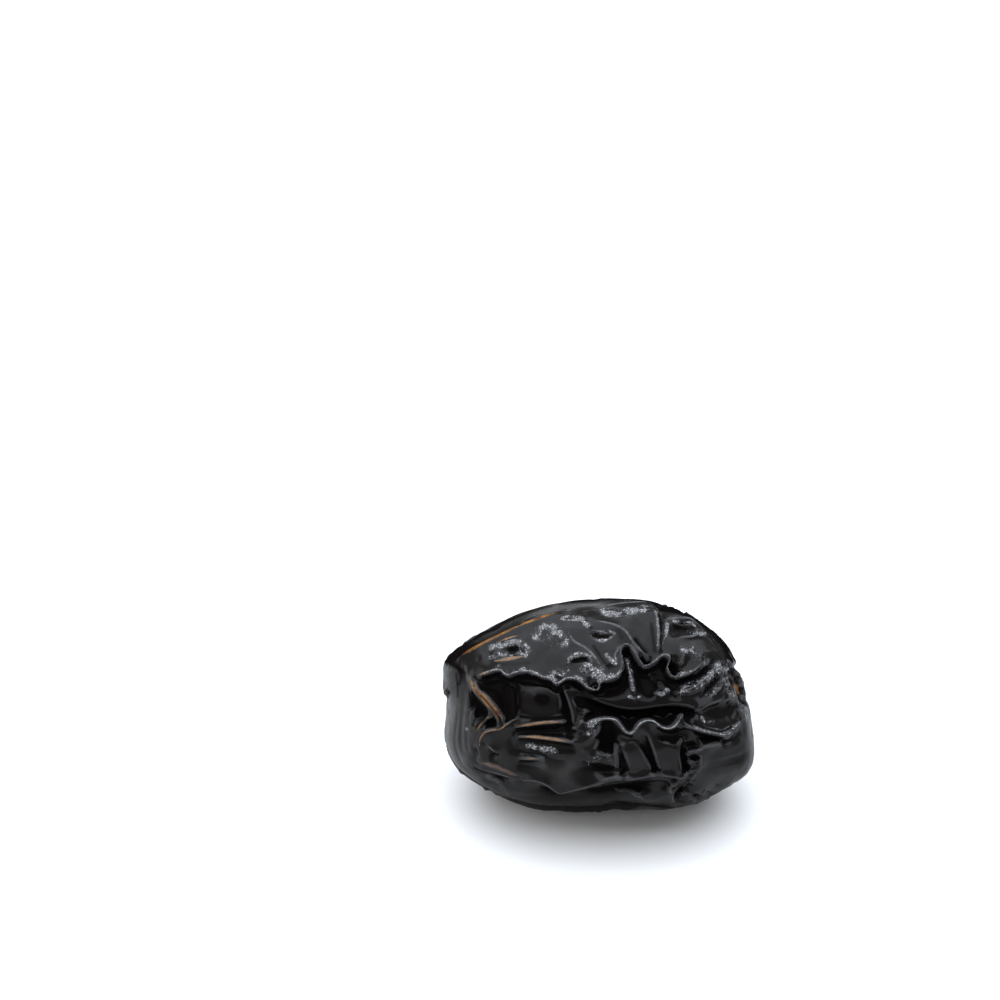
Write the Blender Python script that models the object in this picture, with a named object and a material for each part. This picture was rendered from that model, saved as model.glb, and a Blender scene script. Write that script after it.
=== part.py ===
# One ajwa date, a dried fruit grown as one piece, lying on its side on a small flat spot.
# Metres, +Z up. X runs along the fruit: the blossom tip is at -X and the stem scar at +X.
# Angles go round the X axis: 0 faces -Y, 90 faces up, 180 faces +Y and 270 faces down.

import math

import bmesh
import bpy
from mathutils import Matrix, Vector

MM = 0.001

# Driving dimensions of the fruit
LENGTH = 32.2 * MM
WIDTH = 22.0 * MM
HEIGHT = 21.6 * MM
BELLY_STATION = 0.1 * MM
TIP_BLUNTNESS = 2.3
STEM_BLUNTNESS = 2.44
TIP_DROOP = 0.46 * MM
TIP_DROOP_POWER = 2
STEM_DROOP = 2.65 * MM
STEM_TURN = 2.07 * MM
STEM_BEND_POWER = 8
FLAT_SPOT_CUT = 0.75 * MM

# Mesh fineness: segments round the fruit and rings along it
SEGMENTS_ROUND = 72
RINGS_ALONG = 40

# Hollows at the two ends: centre as (station mm, angle), depth and radius
TIP_HOLLOW = {"station": -15.8, "angle": 85.0, "depth": 0.5 * MM, "radius": 1.8 * MM}
STEM_HOLLOW = {"station": 13.9, "angle": 70.0, "depth": 0.6 * MM, "radius": 2.2 * MM}

# The deep folds of the dried skin. Each is a valley: depth and half width in mm,
# then its way over the skin as (station mm, angle) points.
FOLDS = (
    ("middle_groove", 1.0, 1.8, ((-3.0, 47), (-1.0, 40), (2.0, 36), (6.0, 36), (9.0, 37))),
    ("tip_pocket", 1.1, 2.5, ((-11.5, 48), (-9.0, 50), (-6.0, 47), (-4.6, 42))),
    ("tip_pocket_floor", 0.7, 1.8, ((-8.5, 28), (-6.0, 26), (-3.8, 23))),
    ("bay_left", 0.9, 1.5, ((-1.0, 46), (0.5, 48), (2.0, 50))),
    ("bay_right", 1.0, 1.6, ((3.9, 62), (4.4, 53), (4.9, 46))),
    ("bay_far", 0.8, 1.5, ((6.2, 62), (6.8, 54), (7.6, 46))),
    ("stem_trough", 0.8, 1.5, ((7.6, 51), (9.4, 57), (11.0, 67))),
    ("lobe_hollow", 0.6, 1.5, ((10.6, 32), (12.4, 36), (13.4, 41))),
    ("apron_hollow", 0.7, 1.5, ((0.4, 27), (0.5, 19), (0.2, 11))),
    ("apron_dark", 0.6, 1.5, ((4.3, 18), (4.6, 9), (5.4, 0))),
    ("stem_crease", 0.6, 1.5, ((8.6, 18), (8.2, 8), (8.6, -3))),
    ("under_fold_front", 0.8, 1.7, ((-5.5, -19), (-1.7, -19), (2.0, -15), (5.4, -12))),
    ("crown_furrow", 0.6, 1.5, ((-8.8, 123), (-6.2, 122), (-4.8, 129), (-3.4, 137))),
    ("back_diagonal_foot", 0.8, 1.5, ((-7.0, 138), (-5.2, 144), (-3.2, 153))),
    ("back_branch_foot", 0.7, 1.5, ((0.6, 145), (2.4, 136), (4.6, 130), (7.6, 128))),
    ("leaf_hollow", 1.1, 1.8, ((0.6, 158), (3.4, 159), (6.4, 162), (8.4, 170))),
    ("leaf_far", 0.7, 1.5, ((5.0, 146), (7.0, 149), (9.4, 152))),
    ("tip_hollow_back", 0.9, 1.7, ((-11.0, 141), (-9.4, 150), (-7.8, 157), (-6.6, 163))),
    ("back_branch_gap", 0.6, 1.5, ((-5.0, 169), (-3.0, 170), (-1.2, 173), (0.6, 179))),
    ("back_pit", 0.7, 1.5, ((-0.9, 190), (0.3, 198), (0.2, 205))),
    ("stem_meridian_gap", 0.5, 1.5, ((7.0, 195), (6.5, 204), (7.2, 212))),
    ("tip_meridian_gap", 0.5, 1.5, ((-10.9, 184), (-10.6, 193), (-9.0, 201))),
    ("stem_far_gap", 0.5, 1.5, ((12.2, 170), (12.2, 184))),
    ("back_belly_gap", 0.5, 1.5, ((-6.5, 233), (-3.0, 230), (0.0, 234))),
)

SKIN_COLOUR = (0.018, 0.011, 0.009, 1.0)
SKIN_ROUGHNESS = 0.28


def clear_scene():
    for old in list(bpy.data.objects):
        bpy.data.objects.remove(old, do_unlink=True)


def skin_point(station, angle_deg):
    """The point of the unfolded skin at a station from -1 (tip) to 1 (stem) and an angle."""
    blunt = STEM_BLUNTNESS if station > 0 else TIP_BLUNTNESS
    girth = max(0.0, 1 - abs(station) ** blunt) ** (1 / blunt)
    half = LENGTH / 2 - BELLY_STATION if station > 0 else LENGTH / 2 + BELLY_STATION
    bend = max(0.0, station) ** STEM_BEND_POWER
    droop = STEM_DROOP * bend
    droop += TIP_DROOP * max(0.0, -station) ** TIP_DROOP_POWER
    angle = math.radians(angle_deg)
    return Vector(
        (
            BELLY_STATION + station * half,
            -WIDTH / 2 * girth * math.cos(angle) - STEM_TURN * bend,
            HEIGHT / 2 * girth * math.sin(angle) - droop,
        )
    )


def station_of(x_mm):
    """The station from -1 to 1 of a place along the fruit, given in mm."""
    reach = x_mm * MM - BELLY_STATION
    half = LENGTH / 2 - BELLY_STATION if reach > 0 else LENGTH / 2 + BELLY_STATION
    return max(-1.0, min(1.0, reach / half))


def fold_path(points):
    """A fold's way over the skin, as points a few tenths of a millimetre apart."""
    path = []
    for (x0, a0), (x1, a1) in zip(points, points[1:]):
        steps = max(2, int(max(abs(x1 - x0), abs(a1 - a0) * 0.19) / 0.4))
        for i in range(steps):
            share = i / steps
            x = x0 + (x1 - x0) * share
            a = a0 + (a1 - a0) * share
            path.append(skin_point(station_of(x), a))
    path.append(skin_point(station_of(points[-1][0]), points[-1][1]))
    return path


def ease_ends(place, count):
    """1 along a fold, falling to about a third at its two ends."""
    nearest_end = min(place, count - 1 - place) / max(1, count - 1)
    return min(1.0, 0.35 + nearest_end * 4)


def sink(point, centre, depth, radius):
    """How far a round hollow pulls this point in."""
    return depth * math.exp(-((point - centre).length / radius) ** 2)


def fold_depth(point, paths):
    """How far the folds near this point pull it in: the deepest one counts most."""
    blended = 0.0
    for depth, half_width, path in paths:
        if min((point - path[i]).length for i in (0, len(path) // 2, -1)) > 12 * MM:
            continue
        gap, place = min(((point - p).length, i) for i, p in enumerate(path))
        here = depth * ease_ends(place, len(path)) * math.exp(-((gap / half_width) ** 2))
        blended += here**4
    return blended**0.25


def round_skin():
    """The plump fruit before it shrank: a sphere with its poles at the tip and the stem, drawn out."""
    mesh = bmesh.new()
    bmesh.ops.create_uvsphere(
        mesh,
        u_segments=SEGMENTS_ROUND,
        v_segments=RINGS_ALONG,
        radius=1.0,
        matrix=Matrix.Rotation(math.radians(90), 4, "Y"),
    )
    for vertex in mesh.verts:
        x, y, z = vertex.co
        vertex.co = skin_point(max(-1.0, min(1.0, x)), math.degrees(math.atan2(z, -y)))
    bmesh.ops.recalc_face_normals(mesh, faces=mesh.faces)
    mesh.normal_update()
    return mesh


def shrivel(mesh):
    """Pulls the skin in along the folds and at the two ends."""
    paths = [
        (depth * MM, half_width * MM, fold_path(points))
        for _, depth, half_width, points in FOLDS
    ]
    hollows = [
        (skin_point(station_of(h["station"]), h["angle"]), h["depth"], h["radius"])
        for h in (TIP_HOLLOW, STEM_HOLLOW)
    ]
    moves = []
    for vertex in mesh.verts:
        depth = fold_depth(vertex.co, paths)
        depth += sum(sink(vertex.co, *hollow) for hollow in hollows)
        moves.append((vertex, vertex.normal * -depth))
    for vertex, move in moves:
        vertex.co += move


def press_flat_spot(mesh):
    """Cuts the underside level, where the fruit has settled, and closes the cut with one flat face."""
    level = min(v.co.z for v in mesh.verts) + FLAT_SPOT_CUT
    cut = bmesh.ops.bisect_plane(
        mesh,
        geom=mesh.verts[:] + mesh.edges[:] + mesh.faces[:],
        plane_co=(0, 0, level),
        plane_no=(0, 0, -1),
        clear_outer=True,
    )
    rim = [e for e in cut["geom_cut"] if isinstance(e, bmesh.types.BMEdge)]
    bmesh.ops.holes_fill(mesh, edges=rim)
    bmesh.ops.remove_doubles(mesh, verts=mesh.verts, dist=0.02 * MM)


def stand_at_origin(mesh):
    """Puts the middle of the box's underside at the origin."""
    low = Vector([min(v.co[i] for v in mesh.verts) for i in range(3)])
    high = Vector([max(v.co[i] for v in mesh.verts) for i in range(3)])
    middle = (low + high) / 2
    bmesh.ops.translate(mesh, verts=mesh.verts, vec=(-middle.x, -middle.y, -low.z))


def skin_material():
    material = bpy.data.materials.new("date_skin")
    material.use_nodes = True
    shader = material.node_tree.nodes["Principled BSDF"]
    shader.inputs["Base Color"].default_value = SKIN_COLOUR
    shader.inputs["Roughness"].default_value = SKIN_ROUGHNESS
    shader.inputs["Metallic"].default_value = 0.0
    return material


def make_date():
    mesh = round_skin()
    shrivel(mesh)
    press_flat_spot(mesh)
    stand_at_origin(mesh)
    data = bpy.data.meshes.new("date_fruit")
    mesh.to_mesh(data)
    mesh.free()
    data.shade_smooth()
    data.materials.append(skin_material())
    fruit = bpy.data.objects.new("date_fruit", data)
    bpy.context.scene.collection.objects.link(fruit)
    return fruit


clear_scene()
make_date()
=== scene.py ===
# Looks of one ajwa date: a black, glossy, deeply folded dried fruit lying on a pale floor.
# Metres, +Z up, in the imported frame: the blossom tip at -X, the stem scar at +X, the photographed side at -Y.
# Numbers that shape the skin are in mm. Angles go round the X axis: 0 faces -Y, 90 faces up, 180 faces +Y.
import math

import bpy
import numpy as np
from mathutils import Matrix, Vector
from mathutils.bvhtree import BVHTree


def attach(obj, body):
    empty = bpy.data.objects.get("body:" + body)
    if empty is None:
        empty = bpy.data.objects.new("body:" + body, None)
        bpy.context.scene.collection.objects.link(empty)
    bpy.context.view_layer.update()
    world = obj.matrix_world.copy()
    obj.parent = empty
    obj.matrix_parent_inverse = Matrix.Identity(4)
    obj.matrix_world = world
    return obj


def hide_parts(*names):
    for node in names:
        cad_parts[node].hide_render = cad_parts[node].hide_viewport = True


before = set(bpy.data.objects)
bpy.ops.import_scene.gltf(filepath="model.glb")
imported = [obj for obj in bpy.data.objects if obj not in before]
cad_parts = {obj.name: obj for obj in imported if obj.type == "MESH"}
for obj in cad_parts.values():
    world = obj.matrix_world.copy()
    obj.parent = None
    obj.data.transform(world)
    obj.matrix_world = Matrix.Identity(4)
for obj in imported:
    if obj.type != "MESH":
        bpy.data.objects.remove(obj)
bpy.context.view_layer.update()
MM = 0.001

# The plump fruit under the folds, as in the construction, in mm
LENGTH = 32.2
WIDTH = 22.0
HEIGHT = 21.6
BELLY_STATION = 0.1
TIP_BLUNTNESS = 2.3
STEM_BLUNTNESS = 2.44
TIP_DROOP = 0.46
TIP_DROOP_POWER = 2
STEM_DROOP = 2.65
STEM_TURN = 2.07
STEM_BEND_POWER = 8
FLAT_SPOT_CUT = 0.75
MIDDLE_HEIGHT = HEIGHT / 2 - FLAT_SPOT_CUT

# The photograph's camera. Pixels are of its 1000 x 1000 frame.
PHOTO_SIDE_PX = 1000
DATE_MIDDLE_PX = (602, 706)
PX_PER_MM = 9.75
LENS_MM = 100
SENSOR_MM = 36
ELEVATION_DEG = 38

# A pixel just off the seen fruit is moved toward its middle by this share, up to so many times. A place that
# is lifted shifts along the view no further than skin which leans this much toward the camera would need.
STEP_IN = 0.01
STEP_IN_TRIES = 60
LEAST_LEAN = 0.3

# The outline traced on the photograph
OUTLINE = (
    (442.8, 667.5), (443.6, 662), (447.5, 655.6), (453.8, 650.3), (460, 645.6), (466.5, 640.5), (473, 636),
    (485, 630), (502, 621), (515, 615), (528, 610), (560, 603), (593, 599.5), (625, 599), (650, 600.6),
    (660, 603.5), (670, 606), (680, 609), (690, 614.4), (697.5, 619.4), (703.8, 623), (712.5, 630),
    (718.8, 635.6), (725, 642), (730, 648.8), (733.8, 656.3), (737.3, 662.5), (735, 665), (731.9, 668),
    (736.3, 669.8), (740.3, 673), (742.5, 678), (744.6, 682), (744, 685.6), (746, 691.3), (746.3, 695),
    (745.5, 699), (749, 704), (751, 714), (753, 732), (754.6, 753.5), (753, 764), (747, 774), (734, 784),
    (712, 796), (699, 804), (677, 808), (664, 810), (647, 809), (614, 809), (586, 812), (560, 811),
    (534, 809), (517, 804), (495, 794), (473, 782), (458, 771), (448, 753.5), (444, 736), (446, 714),
    (447, 697), (442.6, 692), (443, 675),
)

# Mesh fineness, how much finer the photographed side is than the rest, and how far the finest spot
# lies above the middle of the view
SKIN_CUTS = 7
FRONT_FINENESS = 1.45
FINEST_SPOT_RAISE_DEG = 4

# How near a line the skin's points slide onto it, in mm: a traced line, and a crest on the hidden sides,
# where the mesh is coarser. Of the creases, only those narrower than the last number draw points.
CROWD_REACH = 0.08
HIDDEN_CROWD_REACH = 0.2
NARROW_CREASE = 0.2

# How the skin hangs between its folds: how far a fold's pull reaches, in mm, and the steps that settle it
DRAPE_REACH = 2.2
DRAPE_STEPS = 160

# The points along a drawn line lie this far apart, in mm, and its drawn heights are raised by this much.
LINE_SPACING = 0.12
RELIEF = 1.2

# How firmly the skin is held where it is drawn
CREASE_HOLD = 20
CREST_HOLD = 30
FOOT_HOLD = 8
CELL_HOLD = 4
RING_HOLD = 12
DIMPLE_HOLD = 8

# Half width in mm of the crest of a traced lip and of a hidden one, how much wider its foot is, and
# how high the crest has to be for the foot to reach its full depth
LIP_WIDTH = 0.07
HIDDEN_LIP_WIDTH = 0.14
FOOT_EXTRA_WIDTH = 0.13
FULL_LIP_HEIGHT = 0.2

# How softly the photographed side gives way to the others, and how near the edge of the view the notches
# of the outline stay: both as the share by which the skin faces the camera. Then the rounds of smoothing
# that part the outline's broad form from its notches.
SIDE_SOFTNESS = 0.25
NOTCH_SOFTNESS = 0.2
OUTLINE_SMOOTHING = 60

# Points over which a line eases in at its two ends, and over which its tint tapers
EASE_STEPS = 5
TINT_TAPER_STEPS = 14

# Studio light: name, place and aim in metres, size in metres, power in watts, colour
WORLD_STRENGTH = 0.5
LIGHTS = (
    ("overhead", (0, 0.15, 0.5), (0, 0.02, 0), (1.2, 1.0), 10.0, (0.86, 0.92, 1.0)),
    ("left_panel", (-0.6, -0.1, 0.15), (0, 0, 0.01), (0.5, 0.5), 1.5, (1, 0.98, 0.96)),
)

# The floor's grey, and the black card behind the fruit: its place and size in metres
FLOOR_GREY = (0.86, 0.86, 0.86, 1)
CARD_BLACK = (0.004, 0.004, 0.004, 1)
CARD_MIDDLE = (0, 0.03, 0.008)
CARD_SIZE = (0.09, 0.016)
CARD_TILT_DEG = 78

# The skin's gloss in the open, and its lower gloss deep in a fold, which paints shade into the folds; and the
# depth of its grain in metres
SKIN_SHINE = 0.36
FOLD_SHADE_SHINE = SKIN_SHINE / 9
GRAIN_DEPTH = 0.00007

# Unevenness in the skin's colour and gloss: scale, detail, roughness
PATTERNS = {
    "grain": (2900, 2, 0.6),
    "patch": (1500, 1, 0.5),
    "broad": (700, 2, 0.5),
    "fine": (8000, 1, 0.5),
    "bead": (6400, 1, 0.5),
}

# Colours of the bare skin; of the grey that paints highlights along crests and in specks; of the dull grey that
# paints soft crest highlights and the crumpled patches' sheen and also greys the scar's flakes; of the scar; of
# the palest specks and lines, which paint glints and bright crest highlights; and of the crests
BLACK = (0.0035, 0.0028, 0.0028, 1)
HIGHLIGHT_GREY = (0.085, 0.085, 0.089, 1)
DULL_AND_SHEEN_GREY = (0.06, 0.06, 0.064, 1)
CORK = (0.11, 0.05, 0.02, 1)
BARK = (0.025, 0.014, 0.01, 1)
PALE = (0.42, 0.42, 0.43, 1)
TAN = (0.19, 0.115, 0.065, 1)
ROSY = (0.11, 0.07, 0.055, 1)
BROWN = (0.05, 0.018, 0.007, 1)
GOLD = (0.19, 0.085, 0.018, 1)

# Lines whose crests are golden, tan or rosy, or carry a painted highlight in grey or in the palest grey: name
# and half width in mm
TINTED_LINES = {
    "golden": {
        "amber_rim": 0.3, "pocket_left": 0.13, "pocket_inner": 0.16, "hole_bridge": 0.11,
        "crown_far_a": 0.14, "stem_meridian": 0.12,
    },
    "tan": {
        "cheek_rim": 0.13, "crack_high": 0.18, "crack_low": 0.18, "crack_third": 0.14,
        "crown_eye_low": 0.26, "streak": 0.22, "cheek_fold": 0.12, "brow_left": 0.22, "streak_small": 0.15,
    },
    "rosy": {
        "tip_meridian": 0.3, "back_cross": 0.3, "stem_bound": 0.3, "pink_band": 0.38, "saddle_band": 0.22,
        "cheek_fold": 0.2,
    },
    "crest_highlight": {
        "back_diagonal": 0.16, "back_branch": 0.15, "back_ledge": 0.14, "middle_branch": 0.14,
        "back_flank": 0.12, "crown_far_c": 0.16, "back_belly_a": 0.16, "leaf_bridge": 0.12,
        "tip_cap_a": 0.12, "stem_cap_a": 0.14, "crown_top": 0.18, "crown_wall": 0.18, "s_line": 0.18,
        "boat_high": 0.18, "boat_low": 0.18, "boat_stem": 0.18, "hook_left": 0.18, "crown_spine": 0.18,
        "squiggle": 0.18, "notch_outer": 0.18, "crown_back_arc": 0.18, "right_eye_low": 0.18,
        "rim_right": 0.18, "end_ridge": 0.07, "end_vertical": 0.07, "low_crest": 0.07, "apron_edge": 0.05,
        "flap_edge": 0.07, "low_left": 0.09, "low_branch": 0.07, "arc_left": 0.05, "notch": 0.1,
        "brow": 0.1, "scallop": 0.1, "crown_eye_rim": 0.14, "knuckle_ring": 0.14, "lobe_ridge": 0.07,
        "low_twig": 0.05,
    },
    "pale": {
        "brow": 0.1, "notch": 0.06, "scallop": 0.08, "knuckle_ring": 0.12, "boat_high": 0.08,
        "hook_left": 0.07, "tongue": 0.1, "tongue_foot": 0.08, "bay_knob": 0.09, "right_scallop": 0.07,
        "lobe_inner": 0.06, "crown_wall": 0.06, "right_eye_rim": 0.07, "right_eye_left": 0.1,
        "crown_eye_rim": 0.06,
    },
}

# Crumpled streaks and patches, where the skin is crinkled and rougher and carries painted glints and a painted
# grey sheen:
# half width in pixels, how much crumple, then (px, py) points
CRUMPLED_AND_GLINTS = (
    (3.4, 1, ((603.7, 610.8), (612, 612.7), (623.2, 611.7), (634.3, 609.9), (645.5, 608.9))),
    (2.2, 0.9, ((561.9, 618.2), (571.2, 618.2), (580.4, 619.2), (587.9, 625.7))),
    (1.2, 0.8, ((587.9, 633.1), (597.2, 632.2), (608.3, 631.2), (615.8, 633.1))),
    (1.2, 0.8, ((589.7, 635), (595.3, 638.7), (604.6, 639.6), (612, 636.8), (615.8, 633.1))),
    (2.2, 0.9, ((560.9, 638.7), (564.6, 643.3), (566.5, 646.1))),
    (1.7, 1, ((568.4, 669.3), (567.4, 663.8), (571.2, 657.3), (578.6, 654.1), (587.9, 656.3),
        (592.5, 661))),
    (3.1, 0.9, ((584.2, 663.8), (591.6, 668.4), (600, 674.9), (604.6, 678.6))),
    (2.5, 1, ((576.7, 676.8), (586, 682.4), (591.6, 686.1), (599, 684.2))),
    (3.6, 0.6, ((582.3, 669.3), (595.3, 674.9), (615.8, 676.8))),
    (1.4, 1, ((597.2, 684.2), (600, 679.6), (608.3, 676.8), (615.8, 674.9), (621.3, 669.3),
        (622.3, 661.9))),
    (0.9, 0.8, ((617.6, 663.8), (615.8, 658.2), (616.7, 652.6), (622.3, 646.1))),
    (2, 0.8, ((607.4, 655.4), (611.1, 660.1), (615.8, 663.8))),
    (2, 0.9, ((626.9, 660.1), (629.7, 669.3), (631.6, 678.6), (633.4, 689.8))),
    (1.2, 1, ((628.8, 696.3), (635.3, 698.7), (639.9, 696.3))),
    (2.5, 1, ((656.7, 692.6), (662.2, 693.5), (667.8, 690.7))),
    (1.2, 0.8, ((655.7, 611.7), (657.6, 619.2), (658.1, 626.6), (658, 634), (657.6, 648.9))),
    (1.7, 1, ((666.9, 622.9), (666.5, 629.4), (664.1, 634))),
    (1.2, 1, ((673.4, 621), (682.7, 622), (693.8, 622.9), (697.5, 629.4))),
    (2.2, 0.7, ((690.1, 631.2), (699.4, 633.1), (706.8, 633.1))),
    (2.5, 0.7, ((680.8, 648.9), (686.4, 650.8), (693.8, 648.9))),
    (2, 0.6, ((682.7, 654.5), (680.8, 663.8))),
    (2.6, 0.8, ((679, 674.9), (688.3, 673.1), (697.5, 669.3), (705, 663.8), (708.7, 659.1))),
    (4.5, 0.8, ((680.8, 690.7), (688.3, 687.9), (697.5, 684.2), (706.8, 678.6), (714.3, 671.2),
        (721.7, 665.6), (727.3, 669.3))),
    (2.9, 0.7, ((708.7, 695.4), (716.1, 689.8), (721.7, 684.2), (725.4, 676.8))),
    (2.9, 0.6, ((727.3, 684.2), (731, 691.7), (736.6, 699.1))),
    (1.2, 0.7, ((686.4, 725.1), (697.5, 727.9), (708.7, 731.6), (721.7, 733.5), (731, 730.7),
        (738.4, 723.3), (743.1, 717.7))),
    (1.7, 1, ((734.7, 725.1), (739.4, 723.3), (743.1, 718.6))),
    (2.2, 0.6, ((745.9, 706.5), (747.7, 714), (745.9, 721.4))),
    (3.1, 0.8, ((587.9, 725.1), (593.5, 723.3), (599, 719.5))),
    (3.1, 0.7, ((586, 732.5), (593.5, 732.5))),
    (2, 0.5, ((701.3, 716.7), (706.8, 722.3), (716.1, 721.4))),
    (3.6, 0.7, ((492.1, 648.1), (500.5, 645), (511.1, 641.8), (519.6, 643.9), (527, 650.3))),
    (2.4, 0.6, ((491, 657.7), (498.4, 653.4), (509, 654.5), (519.6, 653.4), (525.9, 655.5))),
    (4.7, 0.9, ((536.5, 634.4), (544.9, 628.1), (553.4, 630.2), (559.7, 636.5), (564, 642.9))),
    (2.2, 0.9, ((562.9, 617.5), (572.4, 616.4), (583, 618.5))),
    (2.2, 0.8, ((498.4, 667.2), (502.7, 672.5), (506.9, 671.4))),
    (1.4, 1, ((513.2, 671.8), (514.9, 671.2))),
    (1.7, 1, ((520.6, 670.3), (524.9, 669.3))),
    (1.4, 1, ((530.1, 671.4), (538.6, 674.6), (549.2, 676.7), (556.6, 679.9))),
    (3, 0.9, ((551.3, 675.6), (558.7, 671.4), (561.8, 674.6))),
    (1, 1, ((466.5, 729.1), (467.3, 730.4))),
    (2.9, 1, ((529.5, 745.5), (537, 747), (545, 749), (555, 750.5))),
    (3.9, 0.35, ((588, 762), (598, 759), (606, 757), (612, 761))),
    (8, 0.2, ((540, 636), (556, 640))),
    (8, 0.2, ((588, 668), (606, 672))),
    (7, 0.2, ((690, 650), (706, 662))),
    (6, 0.2, ((612, 612), (640, 612))),
)
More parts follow.
